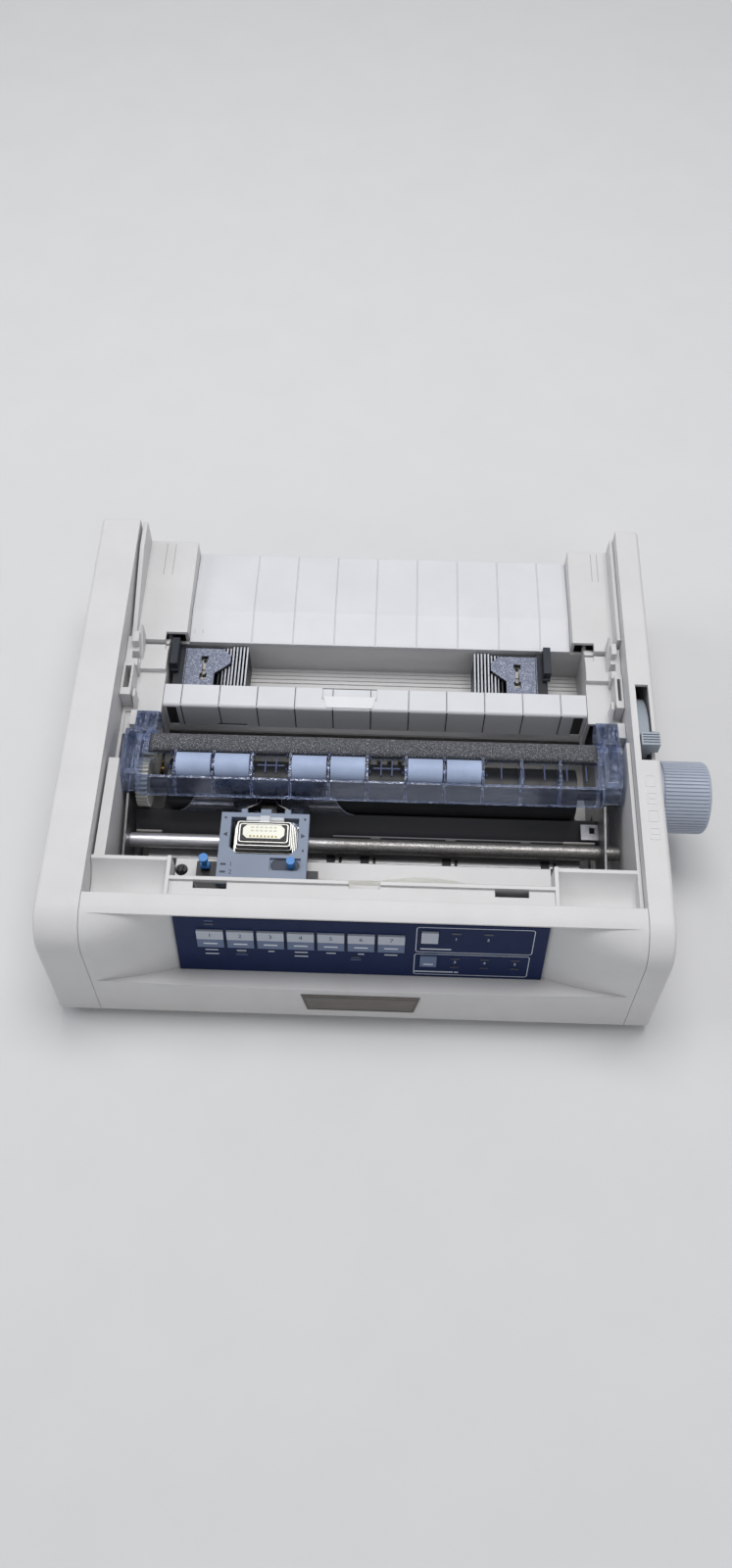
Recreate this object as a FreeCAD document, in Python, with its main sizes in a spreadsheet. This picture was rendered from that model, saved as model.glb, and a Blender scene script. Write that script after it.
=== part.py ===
import FreeCAD, Part
import math
import os
import re
import Sketcher

# Desk-top printer with its access covers off. The origin is the centre of the case footprint
# on the surface it stands on, +X to the right seen from the front, +Y to the rear, +Z up.
# Driving sizes, in millimetres unless the name ends in share, teeth or count. A setback is
# measured to the rear from the front edge of the case.

SIZES = {
    # outer case
    "case_width": 398.0,
    "case_depth": 345.0,
    "case_height": 108.0,
    "skirt_height": 8.5,
    "shell_wall": 2.5,
    "fit_gap": 0.3,
    "overrun": 6.0,
    "left_cover_width": 28.5,
    "right_cover_width": 17.0,
    "front_lean": 11.7,
    "front_round": 27.0,
    "edge_round": 3.0,
    "foot_height": 4.0,
    "foot_radius": 8.0,
    "foot_inset": 26.0,
    # tray under the case
    "tray_wall_height": 30.0,
    "tray_rear_height": 46.0,
    "tray_front_inset": 6.0,
    "vent_width": 3.0,
    "vent_length": 60.0,
    "vent_pitch": 8.0,
    "vent_count": 14,
    # upper case
    "shelf_height": 84.0,
    "shelf_lead": 10.0,
    "left_shelf_width": 40.5,
    "right_shelf_width": 32.0,
    "shelf_notch_width": 15.0,
    "shelf_notch_depth": 7.0,
    "rim_height": 98.0,
    "rim_lip": 2.0,
    "deck_seam": 41.2,
    "deck_depth": 13.9,
    "left_strip_width": 7.0,
    "groove_width": 1.5,
    "strip_rear_setback": 144.5,
    "right_rim_rear_setback": 167.5,
    "pocket_left_width": 48.0,
    "pocket_right_width": 53.0,
    "pocket_depth": 30.4,
    "pocket_radius": 21.0,
    "pocket_centre_rise": 10.0,
    "apron_height": 68.0,
    "apron_rear_setback": 85.5,
    "well_floor": 40.0,
    "well_rear_setback": 263.0,
    "block_height": 80.5,
    "side_deck_height": 76.5,
    "deck_slot_width": 21.5,
    "deck_slot_depth": 5.0,
    "deck_hole_radius": 4.2,
    "floor_rib": 0.8,
    "floor_rib_pitch": 3.4,
    "floor_rib_count": 4,
    "floor_rib_rear_setback": 258.5,
    "notch_width": 20.0,
    "left_post_width": 9.0,
    "right_post_width": 7.0,
    "post_wall": 1.6,
    "post_top": 92.0,
    "blade_top": 97.0,
    "post_rear_setback": 250.5,
    "post_middle_setback": 225.5,
    "post_front_setback": 199.5,
    # sloping paper guide at the rear
    "ramp_rear_height": 70.0,
    "ramp_fold_height": 74.5,
    "ramp_front_height": 72.0,
    "ramp_flat_depth": 25.0,
    "ramp_groove_pitch": 30.3,
    "ramp_groove_first": 46.0,
    "ramp_groove_count": 8,
    "groove_cut_width": 0.9,
    "groove_cut_depth": 0.6,
    # middle paper guide
    "bridge_width": 299.0,
    "paper_centre": 8.0,
    "bridge_height": 76.0,
    "bridge_front_setback": 202.0,
    "bridge_depth": 18.0,
    "bridge_foot": 50.0,
    "bridge_round": 3.0,
    "bridge_groove_pitch": 27.0,
    "bridge_groove_first": 11.8,
    "bridge_groove_count": 11,
    "bridge_slot_width": 7.0,
    "flap_width": 39.0,
    # front cover with its sunken panel
    "brow_setback": 27.5,
    "brow_height": 105.5,
    "panel_top_setback": 34.5,
    "panel_top_height": 92.0,
    "panel_low_setback": 20.5,
    "panel_low_height": 37.4,
    "lip_height": 46.3,
    "lip_bow": 7.5,
    "wing_margin": 3.0,
    "panel_left": -115.0,
    "panel_right": 123.5,
    "panel_thickness": 2.0,
    "panel_backing": 3.5,
    # keys
    "key_width": 17.2,
    "key_height": 16.6,
    "key_pitch": 19.35,
    "key_first": 14.2,
    "key_down": 12.2,
    "key_proud": 1.4,
    "key_travel": 0.8,
    "key_flange": 1.0,
    "key_count": 7,
    "small_key_size": 10.8,
    "small_key_first": 157.8,
    "small_key_down": 7.2,
    "small_key_step": 25.0,
    "small_key_count": 2,
    # name plate, left bare
    "plate_top_width": 78.0,
    "plate_low_width": 71.0,
    "plate_height": 20.0,
    "plate_low": 19.0,
    "plate_x": 4.9,
    "plate_thickness": 1.2,
    # platen and its knob
    "platen_setback": 146.5,
    "platen_z": 62.0,
    "platen_radius": 17.0,
    "platen_left": -132.0,
    "platen_right": 148.0,
    "shaft_radius": 4.0,
    "bearing_gap": 0.05,
    "knob_inner": 202.0,
    "knob_outer": 238.0,
    "knob_radius": 25.0,
    "knob_rib_depth": 0.9,
    "knob_flange_width": 4.0,
    "knob_round": 4.0,
    "knob_rib_count": 60,
    # gear train
    "module_size": 1.0,
    "gear_backlash": 0.3,
    "platen_teeth": 32,
    "idler_teeth": 32,
    "tractor_teeth": 24,
    "pinion_teeth": 12,
    "gear_left": -154.0,
    "gear_width": 8.0,
    "idler_drop": 11.2,
    "axle_radius": 2.5,
    "motor_radius": 17.5,
    "motor_length": 36.0,
    # side frames
    "frame_thickness": 1.5,
    "left_frame_x": -158.5,
    "right_frame_x": 165.5,
    "frame_top": 76.0,
    "frame_front_setback": 80.5,
    "frame_rear_setback": 259.5,
    # carriage shaft, rack and lower paper guide
    "rail_setback": 107.5,
    "rail_z": 50.0,
    "rail_radius": 5.0,
    "rail_right": 178.5,
    "rack_rear_setback": 93.5,
    "rack_width": 7.0,
    "rack_top": 47.0,
    "rack_height": 8.0,
    "rack_tooth_count": 98,
    "guide_gap": 2.0,
    "guide_sheet": 1.5,
    "guide_curl_width": 31.35,
    # tractors
    "tractor_setback": 229.0,
    "tractor_z": 52.5,
    "tractor_rod_setback": 237.0,
    "tractor_rod_z": 45.4,
    "tractor_rod_radius": 3.0,
    "tractor_bar": 6.0,
    "tractor_front_setback": 222.0,
    "tractor_length": 36.5,
    "tractor_low": 41.0,
    "tractor_top": 70.0,
    "tractor_left_x": -139.0,
    "tractor_right_x": 132.5,
    "tractor_housing": 7.8,
    "tractor_lid_width": 33.0,
    "tractor_lid_front": 22.0,
    "tractor_lid_corner": 6.0,
    "tractor_lid_waist_setback": 234.0,
    "tractor_lid_shoulder_setback": 243.0,
    "tractor_lid_thickness": 3.0,
    "tractor_comb_width": 12.2,
    "tractor_fin_count": 9,
    "fin_pitch": 2.5,
    "fin_thickness": 1.1,
    "belt_slot_start": 9.0,
    "belt_slot_width": 10.0,
    "sprocket_radius": 5.8,
    "sprocket_pin": 1.3,
    "sprocket_pin_count": 8,
    "lid_pin_radius": 0.7,
    "lock_hub_radius": 1.5,
    # roller unit over the platen
    "unit_left": -161.3,
    "unit_right": 176.0,
    "unit_cap_width": 12.0,
    "unit_bracket_width": 15.0,
    "unit_bracket_inset": 5.3,
    "unit_bracket_rear_setback": 189.5,
    "unit_bracket_front_setback": 169.8,
    "unit_rear_setback": 171.0,
    "unit_floor": 81.0,
    "unit_top": 88.0,
    "unit_cap_top": 96.0,
    "unit_pivot_setback": 183.5,
    "unit_pivot_z": 82.0,
    "pivot_radius": 3.0,
    "unit_front_setback": 128.5,
    "unit_front_low": 76.0,
    "unit_sheet": 1.6,
    "bay_first": -125.3,
    "bay_pitch": 26.0,
    "bay_count": 12,
    "roller_radius": 8.5,
    "roller_setback": 145.5,
    "roller_z": 89.5,
    "roller_gap": 0.6,
    "roller_axle": 2.0,
    "foam_height": 5.0,
    "foam_depth": 14.0,
    "foam_rear_setback": 169.5,
    "foam_left": -145.0,
    "foam_right": 161.0,
    # carriage, print head and ribbon cartridge
    "carriage_x": -61.9,
    "cartridge_width": 58.6,
    "cartridge_rear_setback": 113.0,
    "cartridge_depth": 52.5,
    "cartridge_low": 78.0,
    "cartridge_top": 84.0,
    "window_width": 45.0,
    "window_depth": 27.0,
    "window_rear_margin": 3.5,
    "window_chamfer": 5.0,
    "middle_tab_width": 7.0,
    "end_tab_width": 4.0,
    "tab_pitch": 14.5,
    "sleeve_wall": 2.5,
    "cheek_width": 4.0,
    "carriage_low": 42.5,
    "arm_low": 71.0,
    "head_low": 58.0,
    "head_top": 87.0,
    "head_width": 42.0,
    "head_rear_setback": 108.5,
    "head_depth": 25.0,
    "head_fin_count": 5,
    "head_cap_width": 32.0,
    "head_cap_depth": 13.5,
    "nose_width": 11.0,
    "nose_gap": 1.2,
    "nose_height": 10.0,
    "guard_gap": 1.2,
    "guard_sheet": 0.8,
    "guard_left": 63.5,
    "guard_right": 58.0,
    "guard_notch": 17.0,
    "guard_slant": 14.0,
    "ribbon_knob_radius": 2.8,
    "ribbon_knob_height": 6.0,
    "ribbon_knob_x": 19.0,
    "ribbon_knob_setback": 75.5,
    "gap_lever_x": 38.0,
    "gap_lever_setback": 77.0,
    "gap_lever_z": 76.0,
    "gap_lever_top": 88.0,
    "gap_lever_radius": 3.0,
    "space_motor_radius": 11.0,
    "space_motor_rear_setback": 84.5,
    "space_motor_length": 18.0,
    # flat cable on the apron
    "cable_width": 10.0,
    "cable_thickness": 0.4,
    "cable_front_setback": 63.0,
    "cable_end": 150.0,
    "cable_hump_start": 16.0,
    "cable_hump_length": 56.0,
    "cable_hump_height": 7.0,
    # paper lever in the right-hand cover
    "lever_slot_left": 4.3,
    "lever_slot_width": 8.7,
    "lever_slot_front_setback": 148.5,
    "lever_slot_rear_setback": 208.5,
    "lever_pivot_setback": 178.5,
    "lever_pivot_drop": 48.0,
    "lever_arm_width": 5.0,
    "lever_shield_radius": 43.0,
    "lever_shield_sheet": 1.5,
    "lever_grip_setback": 164.5,
    "lever_grip_depth": 10.0,
    "lever_grip_drop": 8.5,
    "lever_grip_rise": 1.5,
    "lever_opening_drop": 14.0,
    "lever_rib_count": 4,
    # power inlet and switch
    "inlet_x": 130.0,
    "inlet_width": 28.0,
    "inlet_height": 20.0,
    "inlet_low": 18.0,
    "inlet_depth": 22.0,
    "inlet_pin_count": 3,
    "switch_width": 14.0,
    "rocker_gap": 0.4,
    "rocker_proud": 2.2,
    "rocker_axle_radius": 1.0,
    "rocker_axle_inset": 5.0,
    # boards
    "board_low": 14.0,
    "board_thickness": 1.6,
    "board_left": -120.0,
    "board_right": 130.0,
    "board_lead": 3.5,
    "board_inset": 9.5,
    "connector_x": -90.0,
    "connector_width": 56.0,
    "connector_height": 13.0,
    "transformer_width": 62.0,
    "transformer_depth": 46.0,
    "transformer_height": 42.0,
    "sink_fin_count": 6,
    # screws
    "screw_radius": 1.5,
    "screw_length": 14.0,
    "boss_radius": 4.5,
}

# Places worked out from the driving sizes.

PLACES = {
    "case_left": "-case_width / 2",
    "case_right": "case_width / 2",
    "case_rear": "case_depth / 2",
    "case_front": "-case_depth / 2",
    "brow_y": "case_front + brow_setback",
    "panel_top_y": "case_front + panel_top_setback",
    "panel_low_y": "case_front + panel_low_setback",
    "strip_rear": "case_front + strip_rear_setback",
    "right_rim_rear": "case_front + right_rim_rear_setback",
    "apron_rear": "case_front + apron_rear_setback",
    "well_rear": "case_front + well_rear_setback",
    "floor_rib_rear": "case_front + floor_rib_rear_setback",
    "post_rear": "case_front + post_rear_setback",
    "post_middle": "case_front + post_middle_setback",
    "post_front": "case_front + post_front_setback",
    "bridge_front": "case_front + bridge_front_setback",
    "platen_y": "case_front + platen_setback",
    "frame_front": "case_front + frame_front_setback",
    "frame_rear": "case_front + frame_rear_setback",
    "rail_y": "case_front + rail_setback",
    "rack_rear": "case_front + rack_rear_setback",
    "tractor_y": "case_front + tractor_setback",
    "tractor_rod_y": "case_front + tractor_rod_setback",
    "tractor_front": "case_front + tractor_front_setback",
    "tractor_lid_waist": "case_front + tractor_lid_waist_setback",
    "tractor_lid_shoulder": "case_front + tractor_lid_shoulder_setback",
    "unit_bracket_rear": "case_front + unit_bracket_rear_setback",
    "unit_bracket_front": "case_front + unit_bracket_front_setback",
    "unit_rear": "case_front + unit_rear_setback",
    "unit_pivot_y": "case_front + unit_pivot_setback",
    "unit_front": "case_front + unit_front_setback",
    "roller_y": "case_front + roller_setback",
    "foam_rear": "case_front + foam_rear_setback",
    "cartridge_rear": "case_front + cartridge_rear_setback",
    "head_rear": "case_front + head_rear_setback",
    "ribbon_knob_y": "case_front + ribbon_knob_setback",
    "gap_lever_y": "case_front + gap_lever_setback",
    "space_motor_rear": "case_front + space_motor_rear_setback",
    "cable_front": "case_front + cable_front_setback",
    "lever_slot_front": "case_front + lever_slot_front_setback",
    "lever_slot_rear": "case_front + lever_slot_rear_setback",
    "lever_pivot_y": "case_front + lever_pivot_setback",
    "lever_grip_y": "case_front + lever_grip_setback",
    "lever_pivot_z": "case_height - lever_pivot_drop",
    "lever_grip_low": "case_height - lever_grip_drop",
    "lever_grip_top": "case_height + lever_grip_rise",
    "lever_opening_low": "case_height - lever_opening_drop",
    "cover_left_inner": "case_left + left_cover_width",
    "cover_right_inner": "case_right - right_cover_width",
    "front_corner": "case_front + front_lean",
    "upper_left": "cover_left_inner + fit_gap",
    "upper_right": "cover_right_inner - fit_gap",
    "tray_low": "foot_height",
    "tray_top": "foot_height + shell_wall",
    "tray_side": "case_right - shell_wall - fit_gap",
    "tray_front": "case_front + tray_front_inset",
    "ramp_left": "cover_left_inner + left_shelf_width",
    "ramp_right": "cover_right_inner - right_shelf_width",
    "shelf_front": "well_rear - shelf_lead",
    "shelf_depth": "case_rear - shelf_front",
    "seam_y": "case_front + deck_seam",
    "deck_front": "seam_y + fit_gap",
    "deck_rear": "deck_front + deck_depth",
    "strip_left": "upper_left + groove_width",
    "strip_right": "strip_left + left_strip_width",
    "pocket_rear": "deck_front + pocket_depth",
    "left_pocket_end": "strip_left + pocket_left_width + shell_wall",
    "right_pocket_start": "upper_right - pocket_right_width - shell_wall",
    "pocket_centre_y": "pocket_rear - shell_wall - sqrt(pocket_radius ^ 2 - pocket_centre_rise ^ 2)",
    "pocket_centre_z": "rim_height + pocket_centre_rise",
    "pocket_low": "pocket_centre_z - pocket_radius - shell_wall",
    "ramp_front": "well_rear + fit_gap",
    "ramp_fold": "well_rear + ramp_flat_depth",
    "bridge_left": "paper_centre - bridge_width / 2",
    "bridge_right": "paper_centre + bridge_width / 2",
    "bridge_rear": "bridge_front + bridge_depth",
    "well_left": "bridge_left - shell_wall / 2",
    "well_right": "bridge_right + shell_wall / 2",
    "panel_run": "panel_top_y - panel_low_y",
    "panel_rise": "panel_top_height - panel_low_height",
    "panel_slope": "sqrt(panel_run ^ 2 + panel_rise ^ 2)",
    "panel_cos": "panel_run / panel_slope",
    "panel_sin": "panel_rise / panel_slope",
    "front_rise": "case_height - skirt_height",
    "front_slope": "sqrt(front_lean ^ 2 + front_rise ^ 2)",
    "front_cos": "front_lean / front_slope",
    "front_sin": "front_rise / front_slope",
    "panel_lean": "panel_run / panel_rise",
    "left_post_right": "upper_left + left_post_width",
    "right_post_left": "upper_right - right_post_width",
    "left_bracket_left": "unit_left + unit_bracket_inset",
    "left_bracket_right": "left_bracket_left + unit_bracket_width",
    "right_bracket_left": "unit_right - unit_bracket_width",
    "gear_right": "gear_left + gear_width",
    "left_frame_right": "left_frame_x + frame_thickness",
    "right_frame_right": "right_frame_x + frame_thickness",
    "shaft_end": "left_frame_x - frame_thickness",
    "rack_front": "rack_rear - rack_width",
    "rack_low": "rack_top - rack_height",
    "tractor_rear": "tractor_front + tractor_length",
    "tractor_width": "tractor_housing + tractor_lid_width + tractor_comb_width",
    "lid_low": "tractor_top - shell_wall + fit_gap",
    "tractor_inset": "tractor_housing + tractor_lid_front",
    "unit_cap_left": "unit_left + unit_cap_width",
    "unit_cap_right": "unit_right - unit_cap_width",
    "roller_length": "bay_pitch - unit_sheet - roller_gap * 2",
    "cartridge_front": "cartridge_rear - cartridge_depth",
    "cartridge_left": "carriage_x - cartridge_width / 2",
    "cartridge_right": "carriage_x + cartridge_width / 2",
    "window_rear": "cartridge_rear - window_rear_margin",
    "window_front": "window_rear - window_depth",
    "cheek_left": "carriage_x - window_width / 2 - cheek_width",
    "cheek_right": "carriage_x + window_width / 2 + cheek_width",
    "sleeve_top": "rail_z + rail_radius + sleeve_wall",
    "sleeve_rear": "rail_y + rail_radius + sleeve_wall",
    "sleeve_front": "rail_y - rail_radius - sleeve_wall",
    "arm_rear": "apron_rear + fit_gap * 2",
    "motor_plate_front": "space_motor_rear + bearing_gap",
    "motor_plate_rear": "rack_front - bearing_gap * 4",
    "cradle_top": "cartridge_low - fit_gap",
    "pinion_axis_z": "rack_top + module_size * pinion_teeth / 2",
    "lever_left": "cover_right_inner + lever_slot_left + lever_play",
    "lever_play": "(lever_slot_width - lever_arm_width) / 2",
    "lever_right": "lever_left + lever_arm_width",
    "slot_left": "cover_right_inner + lever_slot_left",
    "slot_right": "slot_left + lever_slot_width",
    "inlet_left": "inlet_x - inlet_width / 2",
    "inlet_right": "inlet_x + inlet_width / 2",
    "switch_right": "inlet_left - shell_wall",
    "switch_left": "switch_right - switch_width",
    "rocker_axle_y": "case_rear - rocker_axle_inset",
    "rocker_axle_z": "inlet_low + inlet_height / 2",
    "inlet_top": "inlet_low + inlet_height",
    "board_front": "well_rear + board_lead",
    "board_rear": "case_rear - board_inset",
    "boss_left": "left_frame_right + boss_radius * 2",
    "boss_right": "right_frame_x - boss_radius * 2",
    "boss_rear": "case_rear - shell_wall - boss_radius * 2",
    "boss_front": "pocket_centre_y + boss_radius",
}

# Shares of the sizes that they follow, chosen by hand.

TOOTH_ROOT_SHARE = 1.25
TOOTH_TIP_SHARE = 0.9
TIP_WIDTH_SHARE = 0.24
ROOT_WIDTH_SHARE = 0.62
RIB_TIP_SHARE = 0.5
RIB_ROOT_SHARE = 0.8
WING_SHARE = 0.6
WING_LEVEL_SHARES = (0.2, 0.42, 0.64, 0.82, 0.91, 0.99)
FLAP_DEPTH_SHARE = 0.55
HEAD_STEP_SHARE = 0.55
HEAD_SWELL_SHARE = 0.16
FRAME_NECK_SHARE = 0.82
LIP_STATION_SHARES = (-1.0, -0.5, 0.0, 0.5, 1.0)
FOAM_EDGE_SHARE = 0.8
AXLE_STUB_SHARE = 0.6
MOTOR_FLANGE_SHARE = 1.3
CAPTURE_SHARE = 0.9
NOTCH_SHARE = 0.7

# The angle below the platen's centre, in degrees, at which the curl of the lower paper guide starts.

GUIDE_START_ANGLE = 40.0

doc = FreeCAD.newDocument("printer")
PARTS = []


def fill_sheet(name, cells):
    """Write named cells to a sheet, one a row."""
    sheet = doc.addObject("Spreadsheet::Sheet", name)
    for row, (alias, content) in enumerate(cells.items(), 1):
        sheet.set(f"A{row}", alias)
        sheet.set(f"B{row}", str(content))
        sheet.setAlias(f"B{row}", alias)
    return sheet


def qualified(text):
    """Point every size or place named in an expression at its cell."""
    def cell(match):
        word = match.group(0)
        if word in SIZES:
            return "Sizes." + word
        return "Places." + word if word in PLACES else word
    return re.sub(r"[a-z_][a-z_0-9]*", cell, str(text))


sizes = fill_sheet("Sizes", SIZES)
places = fill_sheet("Places", {})
for row_number, (place, formula) in enumerate(PLACES.items(), 1):
    places.set(f"A{row_number}", place)
    places.setAlias(f"B{row_number}", place)
for row_number, formula in enumerate(PLACES.values(), 1):
    places.set(f"B{row_number}", "=" + qualified(formula).replace("Places.", ""))
doc.recompute()


def size(name):
    """The value of a named size or place."""
    return float(sizes.get(name) if name in SIZES else places.get(name))


def bind(thing, target, text):
    thing.setExpression(target, qualified(text))


def block(name, x, y, z):
    """A box between two corners, each given as an expression."""
    box = doc.addObject("Part::Box", name)
    for side, axis, (low, high) in zip(("Length", "Width", "Height"), "xyz", (x, y, z)):
        bind(box, side, f"({high}) - ({low})")
        bind(box, f"Placement.Base.{axis}", low)
    return box


AXIS_TURNS = {
    "x": FreeCAD.Rotation(FreeCAD.Vector(0, 1, 0), 90),
    "y": FreeCAD.Rotation(FreeCAD.Vector(1, 0, 0), -90),
    "z": FreeCAD.Rotation(),
}


def rod(name, axis, radius, span, first, second):
    """A cylinder along an axis; first and second place it across the other two axes."""
    cylinder = doc.addObject("Part::Cylinder", name)
    cylinder.Placement = FreeCAD.Placement(FreeCAD.Vector(), AXIS_TURNS[axis])
    bind(cylinder, "Radius", radius)
    bind(cylinder, "Height", f"({span[1]}) - ({span[0]})")
    others = [other for other in "xyz" if other != axis]
    bind(cylinder, f"Placement.Base.{axis}", span[0])
    bind(cylinder, f"Placement.Base.{others[0]}", first)
    bind(cylinder, f"Placement.Base.{others[1]}", second)
    return cylinder


def joined(name, *pieces):
    if len(pieces) == 1:
        return pieces[0]
    fusion = doc.addObject("Part::MultiFuse", name)
    fusion.Shapes = list(pieces)
    return fusion


def cut(name, base, *tools):
    result = doc.addObject("Part::Cut", name)
    result.Base = base
    result.Tool = joined(name + "_tools", *tools)
    return result


def shared(name, first, second):
    overlap = doc.addObject("Part::Common", name)
    overlap.Base = first
    overlap.Tool = second
    return overlap


def coded(name, shape):
    """A solid from Part's own functions."""
    feature = doc.addObject("Part::Feature", name)
    feature.Shape = shape
    return feature


def node(label, thing):
    """Name a finished sub-part."""
    thing.Label = label
    PARTS.append(thing)
    return thing


PLANE_AXES = {"YZ_Plane": "yz", "XZ_Plane": "xz", "XY_Plane": "xy"}


def outline_body(name, plane, corners, low, high):
    """A body padded from one closed outline of named corners, from low to high off its plane."""
    body = doc.addObject("PartDesign::Body", name)
    sketch = body.newObject("Sketcher::SketchObject", name + "_outline")
    support = next(face for face in body.Origin.OriginFeatures if face.Role == plane)
    sketch.AttachmentSupport = [(support, "")]
    sketch.MapMode = "FlatFace"
    probe = doc.addObject("Spreadsheet::Sheet", name + "_probe")
    for number, corner in enumerate(corners, 1):
        probe.set(f"A{number}", "=" + qualified(corner[0]))
        probe.set(f"B{number}", "=" + qualified(corner[1]))
    doc.recompute()
    points = []
    for number in range(1, len(corners) + 1):
        points.append(FreeCAD.Vector(float(probe.get(f"A{number}")), float(probe.get(f"B{number}")), 0))
    doc.removeObject(probe.Name)
    for start, end in zip(points, points[1:] + points[:1]):
        sketch.addGeometry(Part.LineSegment(start, end))
    for number in range(len(points)):
        following = (number + 1) % len(points)
        sketch.addConstraint(Sketcher.Constraint("Coincident", number, 2, following, 1))
    for number, (corner, point) in enumerate(zip(corners, points)):
        for kind, text, value in zip(("DistanceX", "DistanceY"), corner, (point.x, point.y)):
            constraint = sketch.addConstraint(Sketcher.Constraint(kind, -1, 1, number, 1, value))
            bind(sketch, f"Constraints[{constraint}]", text)
    offset = f"-({high})" if plane == "XZ_Plane" else low
    bind(sketch, "AttachmentOffset.Base.z", offset)
    pad = body.newObject("PartDesign::Pad", name + "_pad")
    pad.Profile = sketch
    bind(pad, "Length", f"({high}) - ({low})")
    doc.recompute()
    return body


def rounded(body, name, radius, chosen):
    """Round the edges of a body's last feature that a test picks."""
    base = body.Tip
    names = [f"Edge{number}" for number, edge in enumerate(base.Shape.Edges, 1) if chosen(edge)]
    fillet = body.newObject("PartDesign::Fillet", name)
    fillet.Base = (base, names)
    bind(fillet, "Radius", radius)
    doc.recompute()
    return body


def near(value, target):
    return abs(value - target) < size("fit_gap") / 10


def lies_at(edge, **where):
    """Whether both ends of an edge lie at the given coordinates."""
    ends = [vertex.Point for vertex in edge.Vertexes]
    return all(near(getattr(end, axis), value) for end in ends for axis, value in where.items())


# Case


def side_cover(name, inner, outer, edge_x):
    """A tall side cover: a leaning, rounded side profile, hollow and open below."""
    def shell(label, inset, low_x, high_x):
        corners = [
            (f"case_rear - {inset}", f"skirt_height - {inset}"),
            (f"case_rear - {inset}", f"case_height - {inset}"),
            (f"front_corner + {inset}", f"case_height - {inset}"),
            (f"case_front + {inset}", f"skirt_height - {inset}"),
        ]
        body = outline_body(label, "YZ_Plane", corners, low_x, high_x)
        front = size("front_corner") + (size(inset) if inset in SIZES else 0)
        top = size("case_height") - (size(inset) if inset in SIZES else 0)
        return rounded(body, label + "_front_round", f"front_round - {inset}",
                       lambda edge: lies_at(edge, y=front, z=top))
    low, high = (outer, inner) if edge_x == "case_left" else (inner, outer)
    skin = shell(name + "_skin", "0", low, high)
    rim = size(edge_x)

    def outer_edge(edge):
        ends = [vertex.Point for vertex in edge.Vertexes]
        on_side = all(near(end.x, rim) for end in ends)
        on_skirt = all(near(end.z, size("skirt_height")) for end in ends)
        return on_side and not on_skirt
    rounded(skin, name + "_edge_round", "edge_round", outer_edge)
    hollow = shell(name + "_hollow", "shell_wall", f"{low} + shell_wall", f"{high} - shell_wall")
    return skin, hollow


def make_left_cover():
    skin, hollow = side_cover("left_cover", "cover_left_inner", "case_left", "case_left")
    node("left_side_cover", cut("left_cover_shell", skin, hollow))


def make_right_cover():
    skin, hollow = side_cover("right_cover", "cover_right_inner", "case_right", "case_right")
    slot = block("lever_slot", ("slot_left", "slot_right"), ("lever_slot_front", "lever_slot_rear"),
                 ("lever_opening_low", "case_height + overrun"))
    opening = block("grip_opening", ("slot_left", "case_right + overrun"),
                    ("lever_slot_front", "lever_grip_y + lever_grip_depth / 2 + fit_gap * 4"),
                    ("lever_opening_low", "case_height + overrun"))
    shaft_hole = rod("cover_shaft_hole", "x", "shaft_radius * 2",
                     ("cover_right_inner - overrun", "case_right + overrun"), "platen_y", "platen_z")
    axle = rod("lever_axle", "x", "axle_radius",
               ("cover_right_inner + shell_wall / 2", "case_right - shell_wall / 2"),
               "lever_pivot_y", "lever_pivot_z")
    node("right_side_cover", joined("right_cover_with_axle",
                                    cut("right_cover_shell", skin, hollow, slot, opening, shaft_hole), axle))


def make_tray():
    """The shallow tray that carries everything, with vents and rear openings."""
    main = block("tray_main", ("-tray_side", "tray_side"), ("tray_front", "case_rear - shell_wall - fit_gap"),
                 ("tray_low", "tray_top"))
    rear = block("tray_rear_floor", ("upper_left", "upper_right"), ("0", "case_rear"),
                 ("tray_low", "tray_top"))
    left = block("tray_left", ("-tray_side", "-tray_side + shell_wall"),
                 ("tray_front", "case_rear - shell_wall - fit_gap"), ("tray_low", "tray_wall_height"))
    right = block("tray_right", ("tray_side - shell_wall", "tray_side"),
                  ("tray_front", "case_rear - shell_wall - fit_gap"), ("tray_low", "tray_wall_height"))
    inner = ("upper_left + shell_wall + fit_gap", "upper_right - shell_wall - fit_gap")
    front = block("tray_front_wall", inner, ("tray_front", "tray_front + shell_wall"),
                  ("tray_low", "tray_wall_height"))
    back = block("tray_rear_wall", ("upper_left", "upper_right"), ("case_rear - shell_wall", "case_rear"),
                 ("tray_low", "tray_rear_height"))
    openings = [
        block("inlet_hole", ("switch_left - fit_gap", "inlet_right + fit_gap"),
              ("case_rear - shell_wall - overrun", "case_rear + overrun"),
              ("inlet_low - fit_gap", "inlet_top + fit_gap")),
        block("connector_hole", ("connector_x - connector_width / 2 - fit_gap",
                                 "connector_x + connector_width / 2 + fit_gap"),
              ("case_rear - shell_wall - overrun", "case_rear + overrun"),
              ("board_low + board_thickness - fit_gap",
               "board_low + board_thickness + connector_height + fit_gap")),
    ]
    for number in range(int(size("vent_count"))):
        place = f"(({number} - (vent_count - 1) / 2) * vent_pitch)"
        openings.append(block(f"floor_vent_{number + 1}",
                              (f"{place} - vent_width / 2", f"{place} + vent_width / 2"),
                              ("-vent_length / 2", "vent_length / 2"),
                              ("tray_low - overrun", "tray_top + overrun")))
    for label, x, y in screw_places():
        openings.append(rod(f"floor_hole_{label}", "z", "screw_radius + fit_gap",
                            ("tray_low - overrun", "tray_top + overrun"), x, y))
    shell = joined("tray_shell", main, rear, left, right, front, back)
    node("lower_case", cut("tray", shell, *openings))


def screw_places():
    return [
        ("rear_left", "boss_left", "boss_rear"),
        ("rear_right", "boss_right", "boss_rear"),
        ("front_left", "boss_left", "boss_front"),
        ("front_right", "boss_right", "boss_front"),
    ]


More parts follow.
